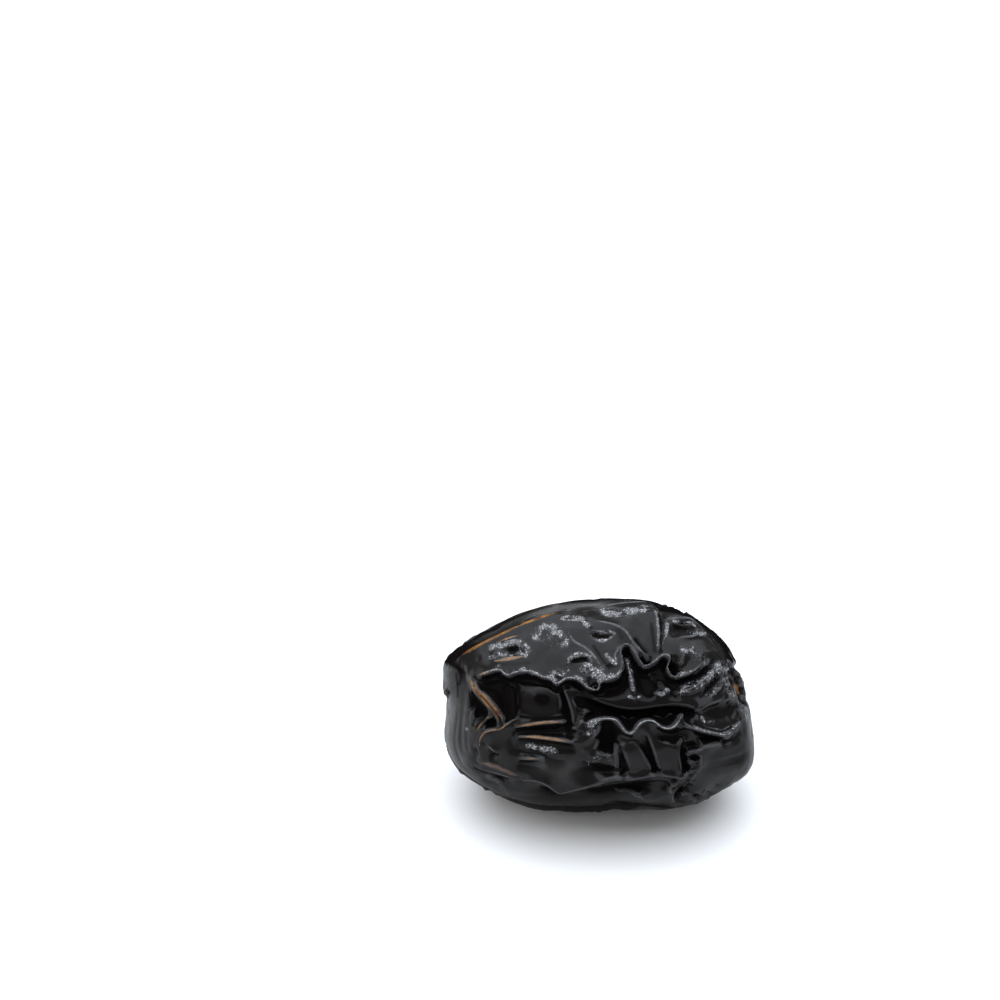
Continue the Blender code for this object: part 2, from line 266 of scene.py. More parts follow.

# Painted shade and painted highlights on the seen skin, as less or more gloss where its folds alone don't make
# it dark or light enough:
# half width in pixels, strength from -1 for no gloss up to plus for more, then (px, py) points. Strokes that
# cross add up.
SHADE_AND_HIGHLIGHT_STROKES = (
    (2.5, -0.94, ((635.4, 639.4), (640.8, 646.8), (646.1, 652.9))),
    (1.1, -0.62, ((627.3, 634), (633.4, 641.4), (639.4, 650.2))),
    (1.8, -0.75, ((651.5, 623.9), (652.9, 635.4), (654.2, 646.1), (654.9, 652.2))),
    (2.3, -0.38, ((617.9, 630.7), (622.6, 638.1))),
    (1.7, -0.75, ((593.6, 646.1), (599, 654.2), (604.4, 662.3), (609.8, 669))),
    (1.1, -0.97, ((585.8, 620.6), (588.9, 625.3), (591.8, 628.6))),
    (1.8, -0.44, ((592.3, 635.1), (599, 635.8), (605.8, 635.8), (612.5, 634.3))),
    (2.3, -0.75, ((571.4, 662.3), (574.8, 659.6), (580.2, 658.3), (585.6, 659.3), (587.6, 662.3))),
    (4.4, -1, ((676.4, 628), (681.1, 628), (687.9, 629), (692.6, 631))),
    (2.3, -0.5, ((671.7, 630), (674.4, 632.7), (678.4, 635.4))),
    (2.5, -0.88, ((660.3, 609.8), (671.7, 608.5), (681.1, 610.5), (689.2, 613.8))),
    (1.7, -0.88, ((697.3, 616.5), (705.4, 622.6))),
    (2.8, -0.88, ((677.1, 685.2), (685.2, 681.1), (694.6, 675.8), (702.7, 670.4), (708, 667.7))),
    (2.2, 0.5, ((681.1, 689.2), (690.6, 687.2), (700, 681.1), (708, 675.8), (716.1, 670.4))),
    (8, 0.2, ((706.7, 647.5), (710.7, 651.5))),
    (1.2, 0.6, ((679.8, 675.8), (685.2, 674.4), (691.9, 671.7), (698.6, 668.4), (704, 663.6))),
    (1.5, -0.97, ((474.6, 639.4), (484.9, 632.3), (497.7, 625.9), (510.5, 620.1), (522.1, 615),
        (537.4, 609.2), (552.8, 605.4))),
    (1.5, -0.6, ((459.2, 652.8), (465.6, 647.7))),
    (3, -0.8, ((449, 657.9), (454.1, 661.8), (459.2, 665.6))),
    (1.8, -0.8, ((459.2, 669.5), (461.2, 677.2), (459.2, 684.9))),
    (2.4, -0.85, ((506.7, 648.3), (513.1, 649.6), (520.8, 651.5))),
    (4, 0.1, ((447.7, 669.5), (447.7, 679.7))),
    (3, 0.3, ((467.6, 672.1), (468.2, 684.9))),
    (9, 0.25, ((454.1, 708.2), (451.3, 729.4), (454.1, 747.7), (461.2, 764.6))),
    (5, 0.5, ((464, 708.2), (466.8, 736.4), (465.4, 759))),
    (8, 0.5, ((531.7, 767.4), (552.8, 770.3), (574, 775.9))),
    (4, -0.6, ((472.4, 696.9), (480.9, 708.2))),
    (2.5, -0.6, ((488, 720.9), (488.7, 722.3))),
    (6, -0.5, ((503.5, 688.5), (504.9, 702.6), (507.7, 715.3))),
    (2, -0.8, ((537.3, 694.1), (544.4, 695.5), (547.9, 699), (545.1, 703.3), (539.4, 704.7))),
    (2, -0.5, ((517.6, 729.4), (541.6, 729.6), (566.9, 729.4))),
    (4, -0.4, ((557.1, 747.7), (571.2, 750.5), (566.9, 756.2))),
    (1.2, -0.7, ((495.7, 753.3), (499.2, 754.8))),
    (0.9, -0.8, ((473.9, 767.7), (482.3, 771), (493.6, 774.8), (503.5, 778))),
    (4, -0.3, ((483.7, 780.1), (496.4, 784.4))),
    (2.5, -0.75, ((590, 788.6), (599.6, 789.4), (609.2, 788.6), (617.2, 790.2))),
    (3, -0.8, ((620.4, 787.8), (630.1, 786.2), (639.7, 787))),
    (3, -0.3, ((644.5, 789.4), (657.3, 792.6), (673.3, 786.2), (679.7, 784.6))),
    (3, -0.5, ((617.2, 802.2), (634.9, 804.6), (654.1, 806.2), (668.5, 805.4))),
    (2.4, -0.7, ((645.3, 746.1), (650.9, 758.9), (657.3, 771.7))),
    (1.3, -0.8, ((620.4, 754.1), (622.1, 765.3), (624.5, 776.5))),
    (5, -0.5, ((606, 725.3), (607.6, 742.9), (599.6, 757.3))),
    (1.8, -0.7, ((681.3, 742.9), (680.5, 754.1), (682.9, 763.7))),
    (1.2, -0.6, ((689.4, 754.1), (695.8, 755.7))),
    (2, -0.5, ((657.3, 734.9), (666.9, 738.1), (676.5, 738.1), (681.3, 736.5))),
    (2, -0.6, ((679.7, 787.8), (686.2, 782.9))),
    (1.2, -0.6, ((692.6, 781.3), (695.8, 779.7))),
    (1.5, -0.6, ((676.5, 800.6), (684.6, 802.2))),
    (1.3, -0.6, ((702.2, 792.6), (705.4, 789.4))),
    (1.2, -0.5, ((691, 792.6), (695.8, 794.2))),
    (7, -0.25, ((721.4, 758.9), (734.2, 762.1), (747.1, 758.9))),
    (1.9, -0.95, ((656.7, 603.4), (664.1, 604.3), (679, 608.9), (693.8, 615.4), (708, 622.5), (721.5, 633),
        (731, 644), (739, 657))),
    (1.1, 0.6, ((447.7, 653.4), (466.7, 637.6), (487.9, 623.8), (509, 614.3), (530.1, 608), (553.4, 604.4),
        (572.4, 602.3))),
    (1.9, -0.95, ((445.6, 660.8), (454, 666.1), (466.7, 673.5))),
    (1.1, -0.8, ((456.1, 673.5), (457.4, 685.1), (457.8, 697.8))),
    (4, -0.3, ((449.8, 674.6), (450.2, 691.5))),
    (1.7, -0.3, ((491, 664), (509, 664), (530.1, 662.9))),
    (2.4, -0.85, ((661.3, 608.9), (671.5, 611.7), (686.4, 614.5), (697.5, 618.2), (706.8, 625.7))),
    (3.6, -1, ((650, 600.5), (660, 602), (672, 604), (684, 608), (696, 613))),
    (6, 1.6, ((524, 694), (540, 691), (556, 695))),
    (6, 1.2, ((524, 706), (540, 711), (557, 711))),
    (3.2, -5, ((538.5, 698.5), (546.5, 699))),
    (1.1, -0.8, ((516, 723.6), (530, 721.6), (545, 719.8), (566, 719))),
    (1.1, -0.8, ((516, 730.4), (530, 728), (545, 726), (566, 725.2))),
    (1.1, -0.8, ((518, 734), (530, 733.6), (545, 735.2), (572, 739.4))),
    (1.1, -0.8, ((518, 740.4), (530, 740.4), (545, 741.8), (572, 745.8))),
    (1.1, -0.7, ((519, 756), (532, 756), (546, 756.6))),
    (1.1, -0.7, ((519, 762.4), (532, 762.4), (546, 762.8))),
    (9, -0.3, ((636, 620), (627, 640))),
    (10, 1.1, ((546, 765), (568, 766))),
    (5, 0.45, ((535, 613), (560, 608), (590, 605), (620, 606))),
    (5, 0.25, ((590, 801), (620, 800), (650, 800))),
    (7, -0.35, ((741, 725), (747, 742), (740, 762))),
    (1.6, -0.7, ((509, 674), (520, 675), (532, 675.5))),
    (1.5, -0.85, ((618, 742), (617.5, 754), (617, 767))),
    (1.6, -0.85, ((619.7, 746), (625, 758), (631, 770))),
    (1.6, -0.85, ((638, 746), (644, 757), (650, 768.6))),
    (1.6, -0.85, ((647.4, 737.4), (653, 752), (660.4, 768.6))),
    (1.6, -0.85, ((680.3, 741), (679.5, 756), (680.3, 770))),
    (1.8, -0.7, ((658.7, 742), (668, 745), (677.7, 744.4))),
    (3, -0.5, ((604, 784), (616, 782), (634, 782), (650, 779))),
    (2, -1.6, ((518, 684), (519.5, 696), (519.5, 709))),
    (1.6, -1.6, ((521, 716.5), (538, 718), (559, 716.5))),
    (2, -2, ((557.5, 689), (559.3, 700), (559, 712))),
    (3.5, -0.6, ((522, 690), (522, 701), (523, 711))),
)

# Where the stem scar's cork shows amber: half width in pixels, how much, then (px, py) points
AMBER = (
    (2.8, 1, ((737.5, 685.5), (739.5, 690), (740.5, 695))),
    (1.3, 0.9, ((727, 668.5), (731, 668), (733.5, 671))),
    (1.1, 0.8, ((735.5, 676), (738, 679.5))),
    (1, 0.7, ((729, 690), (731.5, 694))),
)

# Folds traced on the photograph. A crease holds the skin at a height along a line, plus for a ridge:
# name, half width in mm, then (px, py, height in mm) points.
CREASES = (
    ("amber_rim", 0.2, ((456, 658.2, 0.3), (465.6, 651.3, 0.38), (478.5, 643.2, 0.45), (488.7, 637.7, 0.45),
        (497.7, 633.3, 0.45), (507.9, 628.2, 0.45), (516.9, 623.6, 0.45), (527.2, 620.1, 0.45),
        (536.2, 617.2, 0.4), (549, 613.1, 0.36), (560.5, 610.5, 0.3))),
    ("rim_right", 0.15, ((555.4, 610.5, 0.3), (563.1, 608.6, 0.35), (572.1, 609.5, 0.3),
        (581, 612.1, 0.2))),
    ("pocket_left", 0.16, ((466.5, 668, 0.2), (468.8, 674.6, 0.3), (471.4, 685.1, 0.33),
        (476.2, 693.6, 0.3), (482.6, 699.9, 0.3), (488.9, 707.3, 0.27), (495.3, 714.7, 0.27),
        (498.4, 721.1, 0.2), (498.4, 727.4, 0.05))),
    ("pocket_inner", 0.14, ((472, 678, 0.1), (474.1, 683, 0.2), (477.3, 690.4, 0.25), (484.7, 696.8, 0.27),
        (491, 704.2, 0.25), (497.4, 712.6, 0.25), (501.6, 719, 0.2), (502.2, 725.3, 0.05))),
    ("brow_left", 0.12, ((475, 679, 0), (480, 674.5, 0.1), (488, 671.5, 0.14), (494, 669.5, 0.18))),
    ("hole_left", 0.3, ((472, 696, -0.35), (475, 705, -0.6), (480, 713, -0.8), (486, 717, -0.7),
        (478, 720, -0.5))),
    ("hole_middle", 0.3, ((487, 722, -0.55), (492, 722, -0.7), (496, 725, -0.5))),
    ("hole_bridge", 0.16, ((493, 712, 0), (489, 717, -0.05), (483, 721, 0), (479, 727, 0.05),
        (476, 733, 0.1), (474, 742, 0.1))),
    ("cheek_rim", 0.2, ((518, 721, -0.4), (512, 722, -0.16), (506, 725, 0.08), (500, 729, 0.16),
        (491, 730.5, 0.16), (484, 733.5, 0.24), (480, 739, 0.24), (479, 748, 0.24), (480, 757, 0.16))),
    ("cheek_valley", 0.2, ((475, 748, -0.1), (476, 758, -0.1), (480, 765, -0.05))),
    ("cheek_fold", 0.16, ((484, 742, 0.08), (489, 747, 0.19), (494, 751, 0.19), (500, 753, 0.08))),
    ("cheek_fold_under", 0.13, ((489.4, 749.1, -0.1), (494.3, 753.3, -0.3), (499.2, 755, -0.15))),
    ("pocket_floor_left", 0.5, ((482, 684, -0.6), (492, 684, -0.9), (505, 686, -1.1), (508, 698, -1.15),
        (509, 710, -1), (510, 719, -0.8))),
    ("pocket_plate_edge", 0.16, ((519, 683, -0.6), (520, 692, -0.58), (519, 702, -0.6), (522, 711, -0.6))),
    ("pocket_plate", 0.45, ((524.6, 695.5, -0.61), (527.4, 708.2, -0.61), (538.7, 712.4, -0.61),
        (551.4, 711, -0.61), (555.7, 701.2, -0.61), (550, 690.6, -0.61), (535.9, 689.9, -0.61))),
    ("crack_high", 0.13, ((514, 727.5, -0.15), (520, 726, -0.05), (530, 724.5, 0), (545, 722.5, 0),
        (558, 722, 0), (568, 722, -0.1))),
    ("crack_gap", 0.22, ((515, 731, -0.4), (530, 731.5, -0.5), (548, 731.5, -0.55), (566, 731, -0.6))),
    ("crack_low", 0.13, ((518, 737, 0), (530, 737, 0.1), (545, 738.5, 0.12), (560, 740.5, 0.12),
        (574, 742.5, 0.05))),
    ("sheen_hollow", 0.3, ((518, 744, -0.4), (527, 742, -0.45), (545, 744, -0.45), (562, 748, -0.5),
        (574, 749, -0.45))),
    ("sheen_bump", 0.3, ((530, 746, -0.28), (540, 748, -0.22), (552, 751, -0.3))),
    ("sheen_floor", 0.3, ((522, 750, -0.45), (545, 755, -0.5), (560, 757, -0.4), (572, 754, -0.35))),
    ("crack_third", 0.13, ((519, 759, 0.02), (530, 759, 0.05), (546, 759.5, -0.1))),
    ("under_third", 0.25, ((521, 763, -0.3), (530, 764, -0.35), (540, 763, -0.25))),
    ("cheek_gap", 0.2, ((511, 736, -0.3), (514, 744, -0.35), (513, 750, -0.3))),
    ("pink_band", 0.22, ((474, 760.5, 0.02), (482.3, 763.2, 0.1), (493.6, 766.3, 0.16), (504.9, 771, 0.18),
        (516.2, 775.2, 0.12), (526, 777, 0.05))),
    ("pink_under", 0.16, ((473, 766.5, 0), (482, 770, -0.24), (495, 774.5, -0.24), (507, 779, -0.08))),
    ("low_left", 0.16, ((478, 769, 0.16), (492, 772.5, 0.19), (508, 777, 0.16), (522, 781, 0.08))),
    ("low_left_drop", 0.16, ((486, 777, 0.16), (494, 779, 0.19), (500, 783, 0.19), (505, 790, 0.16),
        (512, 798, 0))),
    ("low_left_dark", 0.6, ((482.3, 781.6, -0.1), (492.2, 785.1, -0.2), (500.6, 788.6, -0.15))),
    ("shank", 0.3, ((562, 683, -0.35), (567, 692, -0.45), (571, 702, -0.5), (574, 714, -0.5),
        (575, 725, -0.45))),
    ("shank_left", 0.2, ((562, 692, -1.1), (566, 705, -1.2), (569, 717, -1.1), (569, 730, -0.8),
        (571, 738, -0.6))),
    ("middle_ridge", 0.2, ((566, 683, -0.4), (574, 688, -0.5), (583, 692, -0.55), (592, 695.5, -0.55),
        (600, 699, -0.55), (610, 702.5, -0.55), (620, 705.5, -0.55), (632, 707, -0.55), (645, 706, -0.55),
        (655, 704, -0.5), (670, 702.5, -0.45), (685, 703.5, -0.4), (697, 708, -0.3))),
    ("middle_groove", 0.3, ((577, 700, -0.9), (588, 705, -1.3), (600, 709, -1.6), (615, 712, -1.8),
        (632, 714, -1.9), (650, 713, -1.9), (668, 711, -1.8), (682, 711, -1.5), (692, 713, -0.9))),
    ("saddle", 0.5, ((580, 712, -0.7), (587, 716, -0.3))),
    ("saddle_band", 0.14, ((571.9, 728.8, -0.3), (578.2, 727.7, -0.15), (585.3, 725.8, -0.1))),
    ("bay_left", 0.35, ((592, 692, -0.9), (604, 689, -1.1), (614, 687, -1.2), (622, 684, -1.2))),
    ("bay_right", 0.5, ((640, 668, -1.3), (645, 680, -1.35), (650, 692, -1.1))),
    ("bay_far", 0.4, ((662, 664, -1.1), (667, 672, -1.2), (672, 683, -1.1), (676, 693, -0.8))),
    ("bay_column", 0.3, ((652, 672, -1.05), (653, 682, -1.05))),
    ("tongue", 0.15, ((624, 653, -0.1), (627, 660, -0.2), (629, 668, -0.3), (631, 678, -0.35),
        (633, 688, -0.4), (635, 696, -0.4))),
    ("tongue_foot", 0.14, ((627, 690, -0.6), (630, 697, -0.45), (636, 699.5, -0.4), (641, 696, -0.6))),
    ("bay_knob", 0.22, ((655, 692, -0.55), (660, 694.5, -0.4), (666, 692, -0.4), (668, 688, -0.6))),
    ("knob_top", 0.3, ((660, 683, -0.75), (663, 688, -0.55))),
    ("lobe_ridge", 0.16, ((697, 711, -0.15), (703, 707, -0.05), (710, 703, 0), (718, 700, 0),
        (728, 698, 0))),
    ("lobe_hollow", 0.5, ((705, 715, -0.45), (718, 712, -0.5), (728, 709, -0.4), (735, 705, -0.3))),
    ("lobe_inner", 0.15, ((697, 719, -0.25), (701, 723, -0.2), (706, 726, -0.15), (714, 728.5, -0.1),
        (722, 729.5, -0.1), (728, 727, -0.1), (735, 722, -0.05), (741, 717, 0))),
    ("lobe_strand", 0.15, ((697, 716, -0.3), (706, 718, -0.3), (715, 720, -0.35))),
    ("lobe_gap", 0.14, ((689, 724, -0.35), (700, 727.5, -0.3), (712, 731, -0.25), (724, 732, -0.2),
        (732, 728, -0.2), (738, 723, -0.1))),
    ("right_scallop", 0.15, ((683, 722, 0.16), (687, 726, 0.24), (697, 729, 0.32), (707, 731.5, 0.32),
        (716, 733.5, 0.32), (724, 735, 0.32), (730, 734, 0.32), (736, 730, 0.32), (740, 726, 0.32),
        (743, 720, 0.32))),
    ("scallop_shadow", 0.16, ((692, 733, -0.16), (702, 736.5, -0.64), (712, 738.5, -0.64),
        (722, 739, -0.56), (732, 735, -0.48), (741, 731, -0.32))),
    ("end_ridge", 0.16, ((687, 756, 0), (693, 752.5, 0.08), (700, 750.5, 0.24), (712, 747, 0.32),
        (722, 743, 0.32), (732, 739.5, 0.32), (742, 735, 0.32), (748, 731, 0.32))),
    ("end_vertical", 0.16, ((702, 751, 0.24), (702, 760, 0.24), (701, 768, 0.19), (696, 776, 0.16),
        (692, 785, 0))),
    ("end_panel", 0.6, ((715, 757, 0.1), (735, 752, 0.15), (746, 748, 0.2))),
    ("end_panel_low", 0.5, ((715, 772, 0.1), (735, 768, 0.15), (745, 762, 0.2))),
    ("end_panel_dip", 0.5, ((712, 764, 0), (730, 760.5, -0.05), (746, 756, 0.05))),
    ("arc_crease", 0.15, ((686, 741, -0.24), (683, 746, -0.56), (682, 754, -0.72), (683, 762, -0.72),
        (686, 770, -0.64))),
    ("arc_left", 0.16, ((683, 738, 0.16), (679, 746, 0.16), (678, 756, 0.16), (680, 766, 0.16),
        (681, 774, 0.08))),
    ("triangle_pocket", 0.2, ((688, 747, -0.56), (694, 745.5, -0.56), (700, 745.5, -0.24))),
    ("small_pocket", 0.15, ((690, 757.5, -0.4), (695, 757, -0.48), (699, 755, -0.32))),
    ("triangle", 0.3, ((691, 763, 0), (697, 764, 0.05))),
    ("apron_hollow", 0.4, ((606, 726, -0.64), (607, 735, -1.04), (607, 745, -1.12), (604, 752, -0.8))),
    ("apron_left_fold", 0.15, ((579, 744, 0), (586, 741, 0.05), (593, 736, 0.05), (598, 731, 0.1),
        (600, 726, 0.24))),
    ("apron_left_low", 0.3, ((584, 751, 0), (592, 747, -0.1), (597, 742, -0.2))),
    ("foot_knob", 0.35, ((590, 761, 0), (598, 758, 0.05), (606, 757, 0), (612, 760, -0.1))),
    ("foot_under", 0.14, ((581, 760, -0.24), (586, 765, -0.48), (594, 768, -0.56), (603, 770, -0.56),
        (611, 770, -0.48), (616, 766, -0.4))),
    ("apron_slit", 0.11, ((619.5, 750, -0.32), (621, 760, -0.45), (622.5, 770, -0.45), (625, 779, -0.32))),
    ("apron_column", 0.2, ((623, 746, 0.06), (627, 756, 0.1), (631, 766, 0.08), (634, 775, 0.06))),
    ("apron_column_left", 0.2, ((616, 747, 0), (616.5, 758, 0.02), (617, 770, 0.04))),
    ("apron_nick", 0.14, ((631, 738, -0.3), (631, 742, -0.25))),
    ("apron_fold", 0.2, ((634, 744, 0.03), (640, 753, 0.03), (646, 762, 0.01), (652, 770, 0))),
    ("apron_dark", 0.22, ((642.9, 735.7, -0.15), (646.1, 747.7, -0.5), (651.7, 760.5, -0.6),
        (658.1, 772.5, -0.4))),
    ("apron_edge", 0.14, ((646, 727, 0.19), (650, 738, 0.11), (654, 748, 0.11), (657, 758, 0.11),
        (660, 771, 0.1))),
    ("apron_panel", 0.5, ((667, 745, 0.08), (669, 756, 0.08), (670, 768, 0.08))),
    ("under_scallop", 0.3, ((656, 731, -0.16), (663, 735, -0.48), (672, 737, -0.56), (681, 734, -0.48),
        (690, 731, -0.24))),
    ("low_branch", 0.14, ((683, 779, 0.4), (678, 784, 0.32), (671, 790, 0.24), (672, 798, 0.16),
        (674, 807, 0))),
    ("low_branch_gap", 0.16, ((688, 778, -0.48), (684, 783, -0.72), (678, 789, -0.64), (677, 797, -0.48))),
    ("low_twig", 0.13, ((699, 769, 0.24), (695, 776, 0.16), (691, 783, 0.08), (684, 790, 0))),
    ("pleat_a", 0.14, ((694, 790, 0), (699, 791, 0.08), (703, 797, 0))),
    ("pleat_a_gap", 0.13, ((692, 793, -0.48), (697, 796, -0.56))),
    ("pleat_b", 0.13, ((703, 783, 0.08), (706, 788, 0.08), (704, 793, 0))),
    ("pleat_c", 0.15, ((681, 796, 0), (689, 795, 0.08), (692, 802, 0))),
    ("pleat_c_gap", 0.15, ((679, 802, -0.4), (685, 803, -0.48))),
    ("pleat_d_gap", 0.14, ((708, 792, -0.15), (711, 793, -0.2))),
    ("pleat_e_gap", 0.14, ((715, 784, -0.1), (720, 785, -0.12))),
    ("flap_edge", 0.14, ((614, 796.6, 0), (628.5, 796.1, 0.05), (638.1, 797.1, 0.08), (644.5, 800.6, 0.08),
        (649.3, 802.2, 0.08), (655.7, 800.6, 0.08), (663.7, 796.9, 0.08), (670.1, 799, 0.08),
        (672.5, 807.8, 0))),
    ("flap_under", 0.4, ((618, 803, -0.56), (632, 805, -0.64), (648, 807, -0.64), (662, 805, -0.56))),
    ("undercut_left", 0.25, ((542, 787, -0.48), (548, 790, -0.88), (555, 795, -0.8))),
    ("undercut_middle", 0.3, ((585, 793, -0.64), (598, 791, -0.96), (612, 788, -0.96), (626, 787, -0.96),
        (640, 786, -0.8), (655, 784, -0.48), (672, 784, -0.4))),
    ("crown_eye_rim", 0.16, ((489.4, 656.7, 0.07), (491.3, 650.3, 0.21), (496.4, 646.4, 0.24),
        (506.7, 644.5, 0.28), (515.6, 641.9, 0.32), (520.1, 644.5, 0.32), (524.6, 648.3, 0.27),
        (529.7, 651.5, 0.17))),
    ("crown_eye_hollow", 0.16, ((506.7, 648.3, -0.14), (511.8, 649.2, -0.23), (516.9, 650.9, -0.21),
        (522.1, 651.8, -0.09))),
    ("crown_eye_low", 0.14, ((490, 661.2, 0.12), (497.7, 660.5, 0.2), (507.9, 658.6, 0.25),
        (516.9, 657.3, 0.25), (524.6, 655.4, 0.22), (529.1, 652.2, 0.2))),
    ("streak", 0.14, ((493.2, 643.2, 0.2), (502.8, 639.4, 0.27), (511.8, 636.4, 0.27), (522.7, 634, 0.2))),
    ("streak_small", 0.13, ((477.8, 658.6, 0.15), (482.3, 656.4, 0.2), (487.4, 653.1, 0.15))),
    ("streak_gap", 0.15, ((480, 642, -0.09), (495, 636.5, -0.09), (510, 631, -0.09), (524, 627, 0))),
    ("crown_spine", 0.14, ((566.5, 627.3, 0.24), (570.1, 635.4, 0.24), (574.8, 641.4, 0.24),
        (582.9, 645.9, 0.24), (590.3, 651.8, 0.28), (596.3, 658.9, 0.28), (600.1, 665, 0.24),
        (604.4, 670.4, 0.16))),
    ("squiggle", 0.14, ((605.8, 652.9, 0.2), (608.7, 658.3, 0.35), (611.8, 662.3, 0.35),
        (616.5, 665, 0.25))),
    ("notch_outer", 0.13, ((617.9, 663.9, 0.3), (615.9, 659.6, 0.35), (614.9, 654.9, 0.38),
        (617.9, 649.1, 0.38), (621.6, 645.3, 0.35))),
    ("knuckle_ring", 0.15, ((567.4, 670.4, 0.16), (568.1, 662.3, 0.28), (571.4, 656.9, 0.36),
        (576.8, 654.2, 0.4), (582.9, 653.1, 0.4), (588.3, 655.6, 0.38), (591.6, 660.9, 0.34),
        (593.6, 667.7, 0.24))),
    ("knuckle_hollow", 0.18, ((571.4, 662.3, -0.19), (577.5, 658.9, -0.29), (583.6, 658.3, -0.24),
        (586.9, 661.2, -0.1))),
    ("knuckle_foot", 0.3, ((575, 670, 0.15), (584, 672, 0.2), (592, 677, 0.2))),
    ("boat_high", 0.13, ((588.5, 629.3, 0.21), (595, 630.3, 0.25), (601.7, 631.3, 0.25),
        (608.5, 631.9, 0.25), (615.2, 631.3, 0.22), (617.9, 633, 0.17))),
    ("boat_low", 0.13, ((587.6, 634, 0.16), (591.6, 638.1, 0.22), (597.7, 640.8, 0.24),
        (603.1, 641.4, 0.24), (609.1, 639.1, 0.22), (614.5, 635.6, 0.2), (617.6, 633.2, 0.18))),
    ("boat_hollow", 0.16, ((592.3, 634.3, -0.03), (599, 635.6, -0.1), (605.8, 635.6, -0.1),
        (611.8, 634, -0.03))),
    ("boat_stem", 0.13, ((584.2, 618.1, 0.24), (588.9, 621.2, 0.24), (593, 626.2, 0.24),
        (595.3, 629.5, 0.21))),
    ("hook_left", 0.13, ((562.7, 618.6, 0.21), (570.8, 616.5, 0.24), (578.8, 615.5, 0.28),
        (584, 618.1, 0.28), (583.1, 623.3, 0.21), (586.2, 628.6, 0.14))),
    ("s_line", 0.13, ((590.3, 619, 0.24), (600.4, 620.8, 0.32), (611.1, 623, 0.4), (619.2, 626, 0.44),
        (625.9, 630.7, 0.44), (630, 636.7, 0.4), (634, 642.4, 0.36), (639.4, 648.8, 0.32),
        (644.8, 654.2, 0.28), (648.6, 659.3, 0.24))),
    ("central_facet", 0.5, ((640.8, 619.2, 0.35), (645.5, 630, 0.35), (648.2, 640.8, 0.3))),
    ("crown_top", 0.2, ((584.2, 612.5, 0.1), (591, 607.1, 0.25), (599, 605.1, 0.35), (607.1, 603.1, 0.4),
        (620.6, 601.2, 0.4), (635.4, 601.1, 0.4), (646.1, 602.4, 0.4), (652.9, 605.1, 0.45))),
    ("crown_wall", 0.14, ((654.2, 607.1, 0.6), (656.6, 615.2, 0.6), (658, 623.3, 0.55), (658.5, 631.3, 0.5),
        (658.4, 639.4, 0.45), (658.9, 646.1, 0.4), (658, 652.2, 0.35))),
    ("crown_wall_right", 0.2, ((664, 611, -0.15), (663, 622, 0), (662, 634, 0.05))),
    ("crown_back_arc", 0.14, ((659.6, 617.2, 0.12), (666.3, 619.2, 0.21), (674.4, 617.6, 0.25),
        (681.1, 616.5, 0.27), (689.2, 617.2, 0.27), (695.9, 620.6, 0.25), (701.3, 624.6, 0.24),
        (706.7, 630.3, 0.21))),
    ("crown_back_gap", 0.22, ((662.3, 608.5, -0.1), (671.7, 610.5, -0.15), (681.1, 611.8, -0.15),
        (689.2, 613.8, -0.1))),
    ("right_eye_rim", 0.14, ((673.7, 622.3, 0.23), (681.1, 621.8, 0.24), (687.9, 622.3, 0.25),
        (693.9, 623.9, 0.25), (696.2, 628, 0.21), (693.9, 632.7, 0.18))),
    ("right_eye_hollow", 0.24, ((674.4, 627.3, -0.18), (681.1, 626.6, -0.31), (687.9, 627.3, -0.33),
        (692.6, 629.3, -0.22))),
    ("right_eye_low", 0.14, ((675.7, 642.8, 0.25), (679.1, 638.3, 0.3), (684.5, 636.2, 0.35),
        (691.9, 635.4, 0.35), (700, 633.6, 0.35), (708, 634.3, 0.3))),
    ("right_eye_left", 0.14, ((668.3, 622.6, 0.3), (667, 628, 0.3), (667, 634, 0.27), (664.3, 638.7, 0.24),
        (662.6, 644.1, 0.21), (661.6, 648.8, 0.15))),
    ("right_eye_side", 0.2, ((672, 630, 0), (672, 637, -0.02))),
    ("right_facet", 0.6, ((690, 645, 0.2), (710, 648, 0.2), (722, 655, 0.2))),
    ("crumple_a", 0.12, ((683, 650, 0.36), (684, 655, 0.4), (682, 661, 0.27))),
    ("crumple_b", 0.12, ((688, 648, 0.32), (691, 653, 0.27))),
    ("plateau_low", 0.16, ((683, 691, -0.05), (692, 689, 0.05), (700, 684, 0.1), (708, 677, 0.12),
        (716, 670, 0.1))),
    ("plateau_low_edge", 0.2, ((684, 697, -0.4), (693, 697, -0.3), (703, 692, -0.25))),
    ("trough", 0.25, ((676, 684, -1), (684, 681, -1.05), (694, 676, -1), (703, 670.5, -0.8),
        (709, 666, -0.5))),
    ("small_trough", 0.16, ((702, 697, -0.4), (709, 690, -0.45), (716, 682, -0.4), (720, 677, -0.2))),
    ("small_ridge", 0.14, ((708, 699, -0.1), (716, 694, 0), (722, 687, 0), (725, 681, 0))),
    ("bottom_right_rim", 0.4, ((680, 808, 0.1), (698, 803, 0.2))),
    ("rib_a", 0.15, ((463, 667, 0.03), (466, 680, 0.05), (467, 692, 0.05), (466, 706, 0.05),
        (465, 720, 0.05), (464, 735, 0.04), (466, 750, 0.04), (470, 762, 0.03))),
    ("rib_a_gap", 0.15, ((463, 690, -0.01), (463, 706, -0.02), (462, 720, -0.02), (461, 735, -0.02),
        (462, 750, -0.02))),
    ("rib_b", 0.14, ((460, 690, 0.03), (460, 705, 0.04), (459, 720, 0.04), (458, 735, 0.04),
        (459, 748, 0.04), (464, 762, 0.04), (472, 771, 0.03))),
    ("rib_b_gap", 0.14, ((457, 716, -0.01), (456, 727, -0.01), (455, 738, -0.01), (456.5, 750, -0.01),
        (461, 762, -0.01))),
    ("rib_c", 0.14, ((455, 712, 0.03), (453.5, 725, 0.03), (452, 738, 0.03), (454, 750, 0.03),
        (459, 762, 0.03), (467, 773, 0.03))),
